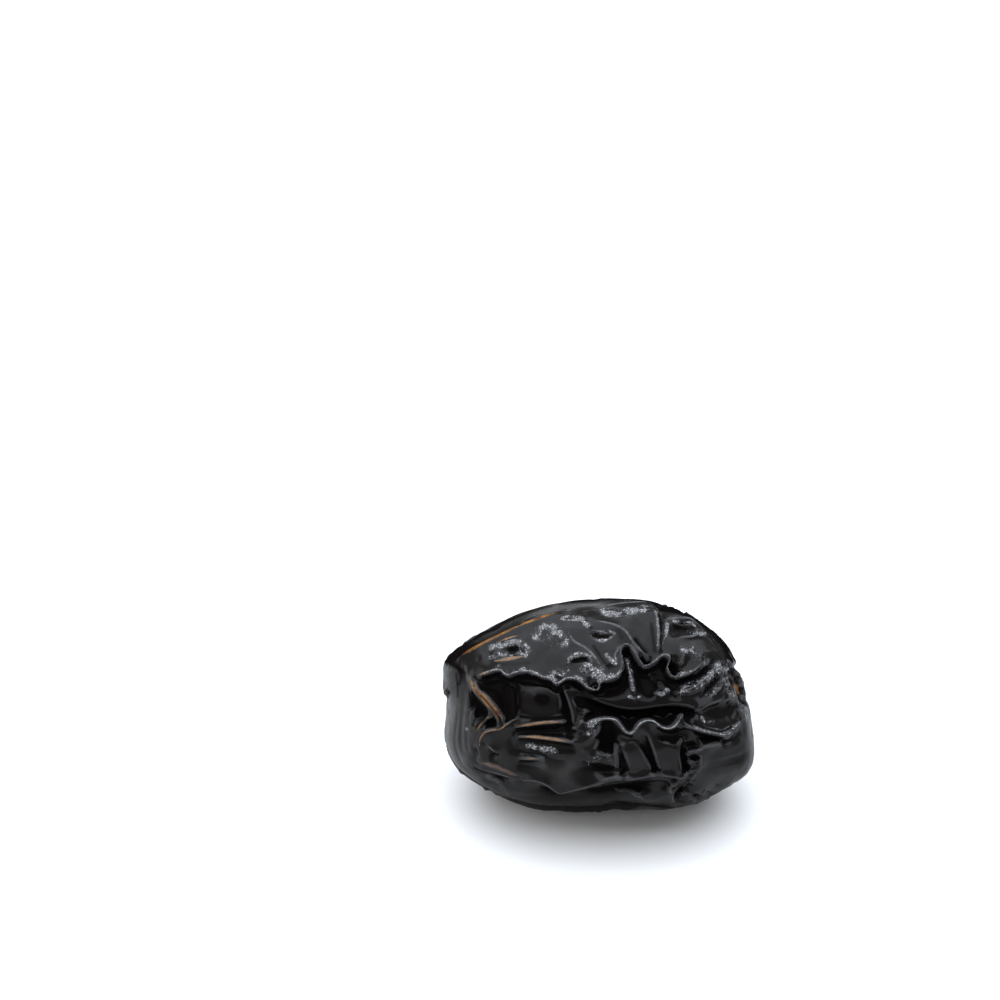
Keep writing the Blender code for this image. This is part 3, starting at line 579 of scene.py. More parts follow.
    ("rib_d", 0.14, ((450, 726, 0.01), (448.5, 738, 0.03), (450, 749, 0.03), (454, 760, 0.03),
        (461, 770, 0.03))),
    ("rib_e", 0.14, ((470, 706, 0.03), (470.5, 720, 0.04), (470, 735, 0.04), (470.5, 748, 0.04),
        (474, 758, 0.03))),
    ("rib_e_gap", 0.14, ((468, 712, -0.02), (468, 725, -0.02), (467, 740, -0.02), (468, 752, -0.02))),
    ("scar_lip", 0.15, ((728, 700, 0), (733, 694, 0), (734, 687, 0), (730, 682, 0.05))),
)

# The folds that the photograph doesn't show: the same, but each point is
# (mm along the fruit, angle, height in mm).
HIDDEN_CREASES = (
    ("leaf_hollow", 0.6, ((0.6, 158, -0.7), (3.4, 159, -1.1), (6.4, 162, -1), (8.4, 170, -0.6))),
    ("leaf_vein", 0.15, ((2, 150, -0.2), (3.4, 154, -0.5), (5.6, 156, -0.4), (8.2, 163, -0.2),
        (9.6, 172, 0.1))),
    ("leaf_far", 0.3, ((5, 146, -0.7), (7, 149, -0.8), (9.4, 152, -0.5))),
    ("leaf_bridge", 0.16, ((6.2, 134, 0.35), (6.9, 140, 0.1), (6.5, 147, -0.2), (7.2, 154, -0.3))),
    ("stem_bound", 0.16, ((6, 172, 0.1), (8, 166, 0.25), (10.4, 168, 0.35), (12.4, 162, 0.3),
        (13.6, 166, 0.1))),
    ("tip_hollow", 0.5, ((-11, 141, -0.4), (-9.4, 150, -0.9), (-7.8, 157, -0.9), (-6.6, 163, -0.6))),
    ("tip_vein", 0.15, ((-9.9, 138, 0.3), (-9.6, 146, -0.2), (-8.6, 153, -0.5), (-8.9, 160, -0.1))),
    ("middle_branch", 0.16, ((-6.5, 176, 0.35), (-4.6, 174, 0.4), (-2.8, 178, 0.4), (-1, 181, 0.35),
        (1, 188, 0.4), (2.4, 197, 0.35), (3.1, 207, 0.3))),
    ("middle_branch_gap", 0.2, ((-5, 169, -0.4), (-3, 170, -0.6), (-1.2, 173, -0.6), (0.6, 179, -0.5))),
    ("back_cross", 0.15, ((-2.8, 178, 0.4), (-2.1, 186, 0.3), (-2.6, 194, 0.3), (-1.6, 203, 0.3),
        (-1.9, 212, 0.35))),
    ("back_pit_a", 0.3, ((-0.9, 190, -0.5), (0.3, 198, -0.7), (0.2, 205, -0.3))),
    ("back_pit_b", 0.22, ((-4.7, 182, -0.6), (-3.9, 188, -0.6))),
    ("tip_meridian", 0.15, ((-11.8, 171, 0.25), (-10.3, 180, 0.3), (-9.7, 190, 0.3), (-8.2, 199, 0.3),
        (-7.5, 208, 0.35))),
    ("tip_meridian_gap", 0.18, ((-10.9, 184, -0.2), (-10.6, 193, -0.35), (-9, 201, -0.3))),
    ("tip_fork", 0.14, ((-10.3, 180, 0.3), (-12, 186, 0.2), (-13.4, 185, 0.15))),
    ("stem_meridian", 0.16, ((5.5, 183, 0.35), (6.2, 192, 0.25), (5.2, 202, 0.3), (5.9, 211, 0.25),
        (6, 219, 0.35))),
    ("stem_meridian_gap", 0.2, ((7, 195, -0.2), (6.5, 204, -0.4), (7.2, 212, -0.3))),
    ("stem_twig_a", 0.14, ((6.2, 192, 0.25), (7.6, 199, 0.2), (9.4, 203, 0.2), (11.2, 200, 0.15))),
    ("stem_twig_b", 0.14, ((9.2, 193, 0.4), (9.9, 199, 0.2), (9.4, 203, 0.2), (10.4, 211, 0.3))),
    ("back_belly_a", 0.16, ((-9, 222, 0.2), (-6, 227, 0.35), (-3, 223, 0.3), (-0.4, 227, 0.3),
        (2.2, 233, 0.2))),
    ("back_belly_a_gap", 0.2, ((-6.5, 233, -0.35), (-3, 230, -0.4), (0, 234, -0.3))),
    ("back_belly_b", 0.16, ((4.6, 228, 0.2), (7, 231, 0.35), (9.4, 227, 0.3), (11.5, 221, 0.2))),
    ("back_belly_c", 0.15, ((-5, 214, 0.35), (-6.2, 221, 0.25), (-6, 227, 0.35), (-7.4, 238, 0.15))),
    ("back_belly_d", 0.15, ((3.5, 214, 0.35), (4.2, 222, 0.25), (4.6, 228, 0.2), (3.6, 240, 0.1))),
    ("under_a", 0.18, ((-12, 240, 0.1), (-8, 250, 0.15), (-3, 247, 0.15), (2, 251, 0.15), (7, 247, 0.1),
        (11, 240, 0))),
    ("under_b", 0.18, ((-12.5, 300, 0.1), (-9, 305, 0.1), (-4, 308, 0.1), (1, 306, 0.1), (6, 309, 0.1),
        (10.5, 302, 0))),
    ("under_b_gap", 0.2, ((-10, 311, -0.3), (-5, 314, -0.4), (0, 313, -0.45), (5, 315, -0.4),
        (9, 310, -0.3))),
    ("crown_far_a", 0.16, ((-11.5, 113, 0.2), (-9, 117, 0.35), (-6.5, 114, 0.35), (-4, 121, 0.4),
        (-2.6, 129, 0.4), (-0.4, 131, 0.35), (1.5, 137, 0.3))),
    ("crown_far_a_gap", 0.2, ((-8.8, 123, -0.3), (-6.2, 122, -0.4), (-4.8, 129, -0.4), (-3.4, 137, -0.3))),
    ("crown_far_b", 0.15, ((-6, 136, 0.2), (-4.6, 143, 0.3), (-2.8, 146, 0.3), (-1.2, 153, 0.2))),
    ("crown_far_c", 0.15, ((2.6, 110, 0.3), (3.2, 118, 0.3), (2.4, 126, 0.3), (3, 134, 0.25),
        (4.2, 137, 0.35))),
    ("crown_far_d", 0.15, ((8.4, 108, 0.3), (9.6, 115, 0.3), (8.8, 121, 0.3), (9.8, 127, 0.35))),
    ("crown_far_d_gap", 0.2, ((6, 121, -0.3), (7.4, 122, -0.35), (7.6, 115, -0.2))),
    ("crown_far_e", 0.14, ((12, 110, 0.25), (11.8, 122, 0.3), (12.8, 133, 0.25), (12.2, 146, 0.25))),
    ("tip_far_a", 0.18, ((-15.4, 110, 0.1), (-14.2, 118, 0.2), (-13.2, 124, 0.25), (-12.5, 128, 0.3))),
    ("stem_far_a", 0.18, ((12.2, 146, 0.25), (13.2, 158, 0.3), (13.8, 172, 0.25), (13, 186, 0.25),
        (11.2, 200, 0.2))),
    ("stem_far_a_gap", 0.2, ((12.2, 172, -0.3), (12.2, 184, -0.4))),
    ("stem_far_b", 0.16, ((14.3, 150, 0.1), (15, 170, 0.2), (14.8, 195, 0.2), (14, 215, 0.2),
        (12.8, 230, 0.1))),
    ("tip_cap_a", 0.18, ((-15.6, 200, 0.1), (-14.6, 215, 0.3), (-13.4, 226, 0.35), (-11.6, 232, 0.3),
        (-9.5, 236, 0.2))),
    ("tip_cap_b", 0.18, ((-15.7, 250, 0.1), (-14.8, 262, 0.3), (-13, 268, 0.3), (-10.8, 272, 0.2))),
    ("tip_cap_c", 0.18, ((-15.5, 150, 0.1), (-14.9, 165, 0.3), (-14.2, 185, 0.35), (-13.9, 205, 0.3),
        (-14.6, 228, 0.3), (-14.2, 250, 0.2))),
    ("tip_cap_gap", 0.3, ((-15.3, 175, -0.2), (-14.9, 195, -0.4), (-15.2, 222, -0.35), (-15.4, 245, -0.2))),
    ("stem_cap_a", 0.18, ((15.6, 130, 0.1), (14.9, 145, 0.3), (14.4, 165, 0.35), (14.6, 190, 0.3),
        (14.1, 210, 0.3), (13.2, 232, 0.2))),
    ("stem_cap_b", 0.18, ((15.3, 250, 0.1), (14.2, 258, 0.3), (12.8, 262, 0.3), (10.6, 268, 0.2))),
    ("stem_cap_c", 0.18, ((15.2, 290, 0.05), (14, 300, 0.2), (12.4, 296, 0.25), (10.4, 300, 0.15))),
    ("stem_cap_gap", 0.3, ((15.4, 155, -0.15), (15.1, 180, -0.35), (14.9, 205, -0.35), (14.6, 225, -0.2))),
    ("stem_far_c", 0.16, ((15.2, 20, 0.1), (15.4, 340, 0.15), (15, 310, 0.15), (13.8, 290, 0.1))),
    ("stem_far_d", 0.16, ((14.2, 350, 0.1), (13.6, 330, 0.2), (12.2, 318, 0.2), (10, 314, 0.1))),
)

# A lip is a crest with a steep drop to one side, the right of its way when that is 1: name, side,
# height of the foot, gap to the foot, then (mm along the fruit, angle, height of the crest).
HIDDEN_LIPS = (
    ("back_diagonal", 1, -0.85, 0.8, ((-13, 127, 0.1), (-10.9, 132, 0.3), (-9.6, 137, 0.35),
        (-8.4, 137, 0.3), (-7.3, 144, 0.4), (-5.8, 151, 0.4), (-4.8, 151, 0.3), (-3.6, 159, 0.35),
        (-1.8, 162, 0.3), (-0.2, 161, 0.2), (0.8, 168, 0.15), (2.2, 175, 0.1), (3.8, 175, 0.15),
        (5.4, 183, 0.3), (7.3, 185, 0.35), (9.1, 193, 0.35), (11, 194, 0.1))),
    ("back_branch", 1, -0.75, 0.75, ((-2.4, 162, 0.1), (-1.4, 156, 0.25), (0.3, 151, 0.35), (1, 144, 0.35),
        (2.4, 141, 0.35), (3.9, 143, 0.25), (4.8, 140, 0.15), (6.4, 139, 0.1), (7.9, 140, 0.1),
        (9, 134, 0.1), (10.6, 132, 0.05))),
    ("back_flank", -1, -0.5, 0.7, ((-13.4, 150, 0.05), (-11.6, 154, 0.2), (-10.6, 162, 0.3),
        (-8.8, 165, 0.35), (-7.6, 173, 0.3), (-6.4, 177, 0.35), (-6, 186, 0.3), (-4.7, 193, 0.2),
        (-4.4, 200, 0.05))),
    ("back_ledge", 1, -0.5, 0.75, ((-13.6, 196, 0.05), (-11.6, 204, 0.2), (-9.6, 205, 0.3),
        (-7.4, 209, 0.35), (-5, 214, 0.35), (-3.2, 211, 0.3), (-1.4, 213, 0.35), (1, 218, 0.35),
        (3.4, 214, 0.35), (5.8, 220, 0.35), (8, 217, 0.25), (10.4, 211, 0.2), (12.6, 212, 0.05))),
)

# The traced lips: the same, but each point is (px, py, height of the crest).
LIPS = (
    ("brow", 1, -0.85, 0.55, ((475, 679, 0), (480, 674.5, 0.1), (488, 671.5, 0.14), (494, 669.5, 0.17),
        (500, 669.5, 0.21), (504, 673, 0.24), (508, 674.5, 0.24), (513, 672.5, 0.24), (520, 671, 0.24),
        (527, 670.5, 0.24), (534, 672, 0.24), (541, 675.5, 0.24), (546, 677, 0.24), (551, 679, 0.24),
        (556, 683, 0.24), (561, 681, 0.24), (566, 678, 0.24), (572, 677.5, 0.24), (578, 679, 0.24),
        (583, 682.5, 0.24), (588, 687, 0.24), (594, 688.5, 0.24), (598, 687, 0.21), (600, 682, 0.21),
        (604, 679.5, 0.21), (610, 679, 0.21), (616, 677, 0.21), (620, 673, 0.21))),
    ("notch", 1, -0.95, 0.55, ((620, 673, 0.21), (623, 665, 0.17), (622, 657, 0.17), (620.5, 650, 0.21),
        (623, 645, 0.21), (626, 643.5, 0.21), (630, 645, 0.21), (634, 650.5, 0.21), (638, 656.5, 0.21),
        (642, 661, 0.24), (647, 663.5, 0.24), (651, 663, 0.24), (656, 660, 0.24), (660, 656, 0.21),
        (664, 654, 0.21), (668, 654.5, 0.21), (670.5, 658, 0.21), (669.5, 664, 0.21), (671, 669, 0.21),
        (675, 673, 0.21), (680, 675.5, 0.17), (686, 674, 0.14), (693, 671, 0.14), (700, 666, 0.14),
        (708, 661, 0.1))),
    ("scallop", -1, -1.4, 0.6, ((586, 725, 0), (590, 722, 0.15), (596, 720.5, 0.22), (601, 719, 0.26),
        (607, 718.5, 0.26), (613, 719, 0.26), (618, 721.5, 0.26), (622, 727, 0.26), (626, 732, 0.26),
        (630, 733.5, 0.26), (634, 731.5, 0.26), (638, 726, 0.26), (642, 722.5, 0.26), (648, 720.5, 0.26),
        (654, 721.5, 0.26), (659, 725, 0.26), (664, 728, 0.26), (670, 728.5, 0.26), (675, 726, 0.26),
        (679, 721.5, 0.22), (682, 716, 0.15), (687, 712.5, 0.08))),
    ("low_crest", 1, -0.2, 0.4, ((522, 781, 0.18), (535, 782, 0.3), (545, 785.5, 0.42), (552, 790.5, 0.48),
        (559, 795, 0.48), (568, 793.5, 0.48), (580, 790.5, 0.48), (592, 787.5, 0.48), (604, 784, 0.48),
        (616, 781, 0.48), (630, 781, 0.48), (642, 779, 0.42), (652, 777.5, 0.42), (663, 776.5, 0.36),
        (673, 778, 0.36), (683, 779, 0.3), (690, 774.5, 0.24), (698, 769, 0.18))),
)

# Fine ribs fan out from each end over the hidden sides: mm along the fruit where they start and stop,
# how many, height
END_RIBS = ((-15.7, -10.4, 11, 0.24), (15.4, 11.4, 9, 0.2))
RIB_WIDTH = 0.2
RIB_FIRST_ANGLE = 125
RIB_FAN = 190
RIB_PROFILE = (0.3, 0.8, 1, 0.8, 0.2)
RIB_SEED = 11

# The dried point of the tip in its dimple, and the stem scar with its rings. Of each ring: place from 0 at
# the middle to 1 at the scar's radius, width, height.
TIP_KNOB = {"px": (445, 693), "radius": 0.34, "height": 0.45, "dimple": 0.1, "dimple_radius": 1.5}
SCAR = {"px": (738, 684), "radius": 2.2}
SCAR_RINGS = ((1.1, 0.12, 0.2), (0.8, 0.12, -0.5), (0.4, 0.4, -0.5))

# Fine puckers run out from the tip and the scar. Those of the tip are higher on the hidden side.
TIP_PUCKERS = {"axis": (1, 0, 0), "count": 12, "start": 0.5, "stop": 5.5}
TIP_PUCKER_HEIGHTS = (0.02, 0.16)
STEM_PUCKERS = {"axis": (0.75, -0.25, 0.6), "count": 11, "start": 2.4, "stop": 4.2, "height": 0.1}
CRUMPLE_HEIGHT = 0.03


def way_up(elevation_deg):
    """The way from the fruit toward the photographed side, so many degrees up."""
    rise = math.radians(elevation_deg)
    return np.array((0, -math.cos(rise), math.sin(rise)))


def make_camera():
    """The photograph's view: the date sits below and right of the frame's middle."""
    distance = PHOTO_SIDE_PX / SENSOR_MM * LENS_MM / PX_PER_MM * MM
    rise = math.radians(ELEVATION_DEG)
    toward = Vector(way_up(ELEVATION_DEG))
    middle = Vector((0, 0, MIDDLE_HEIGHT * MM))
    right = Vector((1, 0, 0))
    up = Vector((0, math.sin(rise), math.cos(rise)))
    offset_px = Vector((PHOTO_SIDE_PX / 2 - DATE_MIDDLE_PX[0], DATE_MIDDLE_PX[1] - PHOTO_SIDE_PX / 2))
    aim = middle + (right * offset_px.x + up * offset_px.y) * (MM / PX_PER_MM)
    data = bpy.data.cameras.new("photo_camera")
    data.lens = LENS_MM
    data.sensor_width = SENSOR_MM
    data.clip_start = 0.01
    data.clip_end = 20
    camera = bpy.data.objects.new("photo_camera", data)
    bpy.context.scene.collection.objects.link(camera)
    camera.location = middle + toward * distance
    camera.rotation_mode = "QUATERNION"
    camera.rotation_quaternion = (aim - camera.location).to_track_quat("-Z", "Y")
    bpy.context.scene.camera = camera
    bpy.context.view_layer.update()
    return camera


def plump_points(station, angle):
    """Points of the plump fruit in mm, for arrays of stations from -1 to 1 and angles in radians."""
    stem = np.maximum(0, station)
    tip = np.maximum(0, -station)
    blunt = np.where(station > 0, STEM_BLUNTNESS, TIP_BLUNTNESS)
    girth = np.maximum(0, 1 - np.abs(station) ** blunt) ** (1 / blunt)
    half = np.where(station > 0, LENGTH / 2 - BELLY_STATION, LENGTH / 2 + BELLY_STATION)
    droop = STEM_DROOP * stem ** STEM_BEND_POWER + TIP_DROOP * tip ** TIP_DROOP_POWER
    return np.stack(
        (
            BELLY_STATION + station * half,
            -WIDTH / 2 * girth * np.cos(angle) - STEM_TURN * stem ** STEM_BEND_POWER,
            MIDDLE_HEIGHT + HEIGHT / 2 * girth * np.sin(angle) - droop,
        ),
        axis=-1,
    )


def coordinates(mesh):
    """The mesh's points as an array in mm."""
    flat = np.empty(len(mesh.vertices) * 3, np.float32)
    mesh.vertices.foreach_get("co", flat)
    return flat.reshape(-1, 3).astype(np.float64) / MM


def set_coordinates(mesh, points):
    mesh.vertices.foreach_set("co", (points * MM).astype(np.float32).ravel())
    mesh.update()


def vertex_normals(mesh):
    return np.array([normal.vector[:] for normal in mesh.vertex_normals])


def apply_modifiers(piece):
    bpy.ops.object.select_all(action="DESELECT")
    piece.select_set(True)
    bpy.context.view_layer.objects.active = piece
    for modifier in list(piece.modifiers):
        bpy.ops.object.modifier_apply(modifier=modifier.name)


def crowd_to_front(ball):
    """Slides points over the unit ball so that they lie closer together on the photographed side."""
    front = way_up(ELEVATION_DEG + FINEST_SPOT_RAISE_DEG)
    along = ball @ front
    flat = (ball - along[:, None] * front) / np.maximum(1e-9, 1 + along)[:, None] / FRONT_FINENESS
    reach = (flat**2).sum(axis=1)
    return (2 * flat + (1 - reach)[:, None] * front) / (1 + reach)[:, None]


def make_plump_skin():
    """A finely cut cube blown up to a ball, then drawn out to the plump fruit."""
    bpy.ops.object.select_all(action="DESELECT")
    bpy.ops.mesh.primitive_cube_add(size=2)
    skin = bpy.context.object
    skin.name = "date_skin"
    cuts = skin.modifiers.new("cuts", "SUBSURF")
    cuts.subdivision_type = "SIMPLE"
    cuts.levels = cuts.render_levels = SKIN_CUTS
    ball = skin.modifiers.new("ball", "CAST")
    ball.factor = 1
    apply_modifiers(skin)
    ball = coordinates(skin.data)
    ball /= np.linalg.norm(ball, axis=1)[:, None]
    ball = crowd_to_front(ball)
    x, y, z = ball.T
    set_coordinates(skin.data, plump_points(np.clip(x, -1, 1), np.arctan2(z, -y)))
    return skin


def on_photo(points, camera):
    """Where points appear on the photograph, in pixels, and how many pixels a millimetre covers there."""
    turn = np.array(camera.matrix_world.to_3x3())
    seen = (points - np.array(camera.location) / MM) @ turn
    scale = LENS_MM / SENSOR_MM * PHOTO_SIDE_PX / -seen[:, 2]
    return seen[:, :2] * scale[:, None] * (1, -1) + PHOTO_SIDE_PX / 2, scale


def toward_camera(normals):
    """How much each normal faces the camera, from -1 to 1."""
    return normals @ way_up(ELEVATION_DEG)


def fit_outline(points, normals, camera, sharpness, notches):
    """Moves points across the view so that the shape's edge meets the traced outline.

    The outline's broad form moves what lies in line with it, the less toward the middle the higher the
    sharpness. Its small notches, taken up by the share given, move only the skin at the edge.
    """
    turn = np.array(camera.matrix_world.to_3x3())
    middle = np.array(DATE_MIDDLE_PX)
    pixels, scale = on_photo(points, camera)
    gap = (pixels - middle) * (1, -1)
    angle = np.arctan2(gap[:, 1], gap[:, 0])
    reach = np.hypot(*gap.T)
    degrees = np.radians(np.arange(360) + 0.5)
    traced = (np.array(OUTLINE) - middle) * (1, -1)
    traced_angle = np.arctan2(traced[:, 1], traced[:, 0])
    wanted = np.interp(degrees, traced_angle, np.hypot(*traced.T), period=2 * math.pi)
    edge = np.zeros(360)
    np.maximum.at(edge, np.floor(angle / math.pi * 180).astype(int) % 360, reach)
    edge = (np.roll(edge, 1) + 2 * edge + np.roll(edge, -1)) / 4
    broad = wanted - edge
    for _ in range(OUTLINE_SMOOTHING):
        broad = (np.roll(broad, 1) + 2 * broad + np.roll(broad, -1)) / 4
    fine = np.interp(angle, degrees, wanted - edge - broad, period=2 * math.pi)
    fine *= notches * np.exp(-((toward_camera(normals) / NOTCH_SOFTNESS) ** 2))
    broad, edge = (np.interp(angle, degrees, values, period=2 * math.pi) for values in (broad, edge))
    shift = (broad + fine) * (reach / edge) ** sharpness / np.maximum(1e-6, reach) / scale
    return points + (gap * shift[:, None]) @ turn[:, :2].T


class Skin:
    """The plump skin as arrays, and the finding of places on it."""

    def __init__(self, piece, camera):
        mesh = piece.data
        self.points = coordinates(mesh)
        self.normals = vertex_normals(mesh)
        edges = np.empty(len(mesh.edges) * 2, np.int32)
        mesh.edges.foreach_get("vertices", edges)
        self.edges = edges.reshape(-1, 2)
        sizes = np.empty(len(mesh.polygons), np.float32)
        mesh.polygons.foreach_get("area", sizes)
        corners = np.empty(len(mesh.loops), np.int32)
        mesh.loops.foreach_get("vertex_index", corners)
        self.share = np.bincount(corners, np.repeat(sizes / 4 / MM**2, 4), len(self.points))
        self.tree = BVHTree.FromPolygons(
            [Vector(p) for p in self.points], [tuple(p.vertices) for p in mesh.polygons]
        )
        self.eye = camera.location / MM
        self.turn = camera.matrix_world.to_quaternion()

    def ray(self, px, py):
        """The way from the camera through a pixel."""
        half = PHOTO_SIDE_PX / 2
        reach = SENSOR_MM / LENS_MM / PHOTO_SIDE_PX
        return (self.turn @ Vector(((px - half) * reach, (half - py) * reach, -1))).normalized()

    def seen_at(self, px, py, height):
        """The plump skin's point and normal under a pixel, for skin lifted by a height."""
        for _ in range(STEP_IN_TRIES):
            ray = self.ray(px, py)
            place, normal, _, _ = self.tree.ray_cast(self.eye, ray)
            if place is not None:
                break
            px += (DATE_MIDDLE_PX[0] - px) * STEP_IN
            py += (DATE_MIDDLE_PX[1] - py) * STEP_IN
        lean = min(-LEAST_LEAN, ray.dot(normal))
        place, normal, _, _ = self.tree.find_nearest(place + ray * (height / lean) - normal * height)
        return place, normal

    def traced(self, points):
        """A line drawn on the photograph, laid on the plump skin: places, normals, heights."""
        drawn = curve(points, LINE_SPACING * PX_PER_MM)
        places, normals = as_arrays(self.seen_at(px, py, height * RELIEF) for px, py, height in drawn)
        return places, normals, drawn[:, 2]

    def laid(self, points):
        """The same for a line given in mm along the fruit and angles."""
        along, angles, heights = np.array(points, float).T
        half = np.where(along > BELLY_STATION, LENGTH / 2 - BELLY_STATION, LENGTH / 2 + BELLY_STATION)
        stations = np.clip((along - BELLY_STATION) / half, -1, 1)
        rough = plump_points(stations, np.radians(angles))
        run = np.concatenate(((0,), np.cumsum(np.linalg.norm(np.diff(rough, axis=0), axis=1))))
        steps = np.linspace(0, run[-1], max(3, int(run[-1] / LINE_SPACING)))
        columns = (stations, np.radians(angles), heights)
        stations, angles, heights = (smooth_through(run, column, steps) for column in columns)
        drawn = plump_points(np.clip(stations, -1, 1), angles)
        places, normals = as_arrays(self.tree.find_nearest(Vector(p))[:2] for p in drawn)
        return places, normals, heights

    def beside(self, places, normals, reach):
        """Points within reach of a line: which, distance with right as plus, nearest place, way right."""
        low, high = places.min(axis=0) - reach, places.max(axis=0) + reach
        near = np.nonzero(((self.points > low) & (self.points < high)).all(axis=1))[0]
        points = self.points[near]
        gap = (points**2).sum(axis=1)[:, None] + (places**2).sum(axis=1)[None] - 2 * points @ places.T
        nearest = gap.argmin(axis=1)
        distance = np.sqrt(np.maximum(0, gap[np.arange(len(near)), nearest]))
        close = distance < reach
        near, nearest, distance = near[close], nearest[close], distance[close]
        ways = np.gradient(places, axis=0)
        rights = np.cross(ways, normals)
        rights /= np.linalg.norm(rights, axis=1)[:, None]
        lateral = ((self.points[near] - places[nearest]) * rights[nearest]).sum(axis=1)
        at_end = (nearest == 0) | (nearest == len(places) - 1)
        return near, np.where(at_end, distance * np.sign(lateral), lateral), nearest, rights[nearest]

    def crowd(self, lines, width):
        """Slides the skin's points sideways onto the drawn lines, so that their crests run clean."""
        shift = np.zeros_like(self.points)
        closest = np.full(len(self.points), np.inf)
        for places, normals, _ in lines:
            near, offset, nearest, rights = self.beside(places, normals, width * 3)
            inner = (nearest > 0) & (nearest < len(places) - 1) & (np.abs(offset) < closest[near])
            near, offset, rights = near[inner], offset[inner], rights[inner]
            closest[near] = np.abs(offset)
            shift[near] = -rights * (offset * np.exp(-((offset / width) ** 2)))[:, None]
        self.points = self.points + shift


def as_arrays(found):
    """Pairs of a place and a normal as two arrays."""
    places, normals = zip(*found)
    return np.array([place[:] for place in places]), np.array([normal[:] for normal in normals])


def curve(points, spacing):
    """Points close together along a smooth line through the drawn points."""
    knots = np.array(points, float)
    ends = np.vstack((2 * knots[0] - knots[1], knots, 2 * knots[-1] - knots[-2]))
    drawn = []
    for before, start, end, after in zip(ends, ends[1:], ends[2:], ends[3:]):
        count = max(2, math.ceil(np.linalg.norm((end - start)[:2]) / spacing))
        for share in np.arange(count) / count:
            bend = (2 * before - 5 * start + 4 * end - after) * share**2
            twist = (3 * start - before - 3 * end + after) * share**3
            drawn.append(0.5 * (2 * start + (end - before) * share + bend + twist))
    return np.array(drawn)


def smooth_through(knots, values, steps):
    """A smooth curve through the values, read at the steps."""
    slopes = np.gradient(values, knots)
    at = np.clip(np.searchsorted(knots, steps, side="right") - 1, 0, len(knots) - 2)
    span = knots[at + 1] - knots[at]
    share = (steps - knots[at]) / span
    return (
        values[at] * (1 + 2 * share) * (1 - share) ** 2
        + values[at + 1] * (3 - 2 * share) * share**2
        + span * share * (1 - share) * (slopes[at] * (1 - share) - slopes[at + 1] * share)
    )


def end_ribs():
    """The fine ribs at both ends that the photograph doesn't show, as lines on the skin."""
    random = np.random.default_rng(RIB_SEED)
    for start, stop, count, height in END_RIBS:
        for i in range(count):
            angle = RIB_FIRST_ANGLE + i * RIB_FAN / count + random.uniform(-5, 5)
            end = stop + random.uniform(-1.6, 1.2)
            along = np.linspace(start, end, 5)
            angles = angle + np.cumsum(random.uniform(-9, 9, 5))
            heights = np.array(RIB_PROFILE) * height * random.uniform(0.7, 1.3)
            yield tuple(zip(along, angles, heights))
            yield tuple(zip(along, angles + RIB_FAN / 2 / count, -heights))


def waves(points, wavelength, seed, count=28):
    """Smooth random unevenness of about unit size."""
    random = np.random.default_rng(seed)
    ways = random.normal(size=(count, 3))
    ways /= np.linalg.norm(ways, axis=1)[:, None]
    ways *= 2 * math.pi / wavelength / random.uniform(0.7, 1.4, count)[:, None]
    return np.cos(points @ ways.T + random.uniform(0, 2 * math.pi, count)).sum(axis=1) / math.sqrt(count / 2)


def drape(skin, rest, hold, held):
    """Heights of a skin hung over its folds: smooth, at rest far from them, pinned where it is held."""
    first, second = skin.edges.T
    count = len(skin.points)
    stay = skin.share / DRAPE_REACH**2
    diagonal = np.bincount(first, minlength=count) + np.bincount(second, minlength=count) + stay + hold

    def pull(heights):
        joined = np.bincount(first, heights[second], count) + np.bincount(second, heights[first], count)
        return diagonal * heights - joined

    heights = rest.copy()
    left = stay * rest + held - pull(heights)
    eased = left / diagonal
    way = eased.copy()
    size = left @ eased
    for _ in range(DRAPE_STEPS):
        pulled = pull(way)
        step = size / (way @ pulled)
        heights += step * way
        left -= step * pulled
        eased = left / diagonal
        size, last = left @ eased, size
        way = eased + size / last * way
    return heights


def ease_ends(nearest, count, steps=EASE_STEPS):
    """1 along a line, easing to a tenth at its two ends."""
    return np.clip(np.minimum(nearest, count - 1 - nearest) / steps, 0.1, 1)


class Pins:
    """What holds the skin at a height at every point, and how far inside each kind of tinted line it lies."""

    def __init__(self, count):
        self.hold = np.zeros(count)
        self.held = np.zeros(count)
        self.tints = {kind: np.full(count, -0.5) for kind in TINTED_LINES}

    def pin(self, near, offset, width, height, strength):
        weight = strength * np.exp(-((offset / width) ** 2))
        self.hold[near] += weight
        self.held[near] += weight * height

    def tint(self, line, near, offset, nearest, count):
        taper = ease_ends(nearest, count, TINT_TAPER_STEPS)
        for kind, lines in TINTED_LINES.items():
            if line in lines:
                inside = lines[line] * taper - np.abs(offset)
                self.tints[kind][near] = np.maximum(self.tints[kind][near], inside)


def press_creases(skin, pins, creases):
    """Holds the skin along the drawn creases and ridges."""
    for name, width, (places, normals, heights) in creases:
        near, offset, nearest, _ = skin.beside(places, normals, max(0.6, width * 2))
        ease = ease_ends(nearest, len(places))
        pins.pin(near, offset, width * 0.7, heights[nearest] * RELIEF, CREASE_HOLD * ease)
        pins.tint(name, near, offset, nearest, len(places))


def raise_lips(skin, pins, lips):
    """Holds the skin up along each lip's crest and down along its foot."""
    for name, side, foot, gap, width, (places, normals, heights) in lips:
        near, offset, nearest, _ = skin.beside(places, normals, gap + 0.3)
        ease = ease_ends(nearest, len(places))
        pins.pin(near, offset, width, heights[nearest] * RELIEF, CREST_HOLD * ease)
        foot_height = foot * np.clip(heights[nearest] / FULL_LIP_HEIGHT, 0, 1) * RELIEF
        pins.pin(near, offset * side - gap, FOOT_EXTRA_WIDTH + width, foot_height, FOOT_HOLD * ease)
        pins.tint(name, near, offset, nearest, len(places))


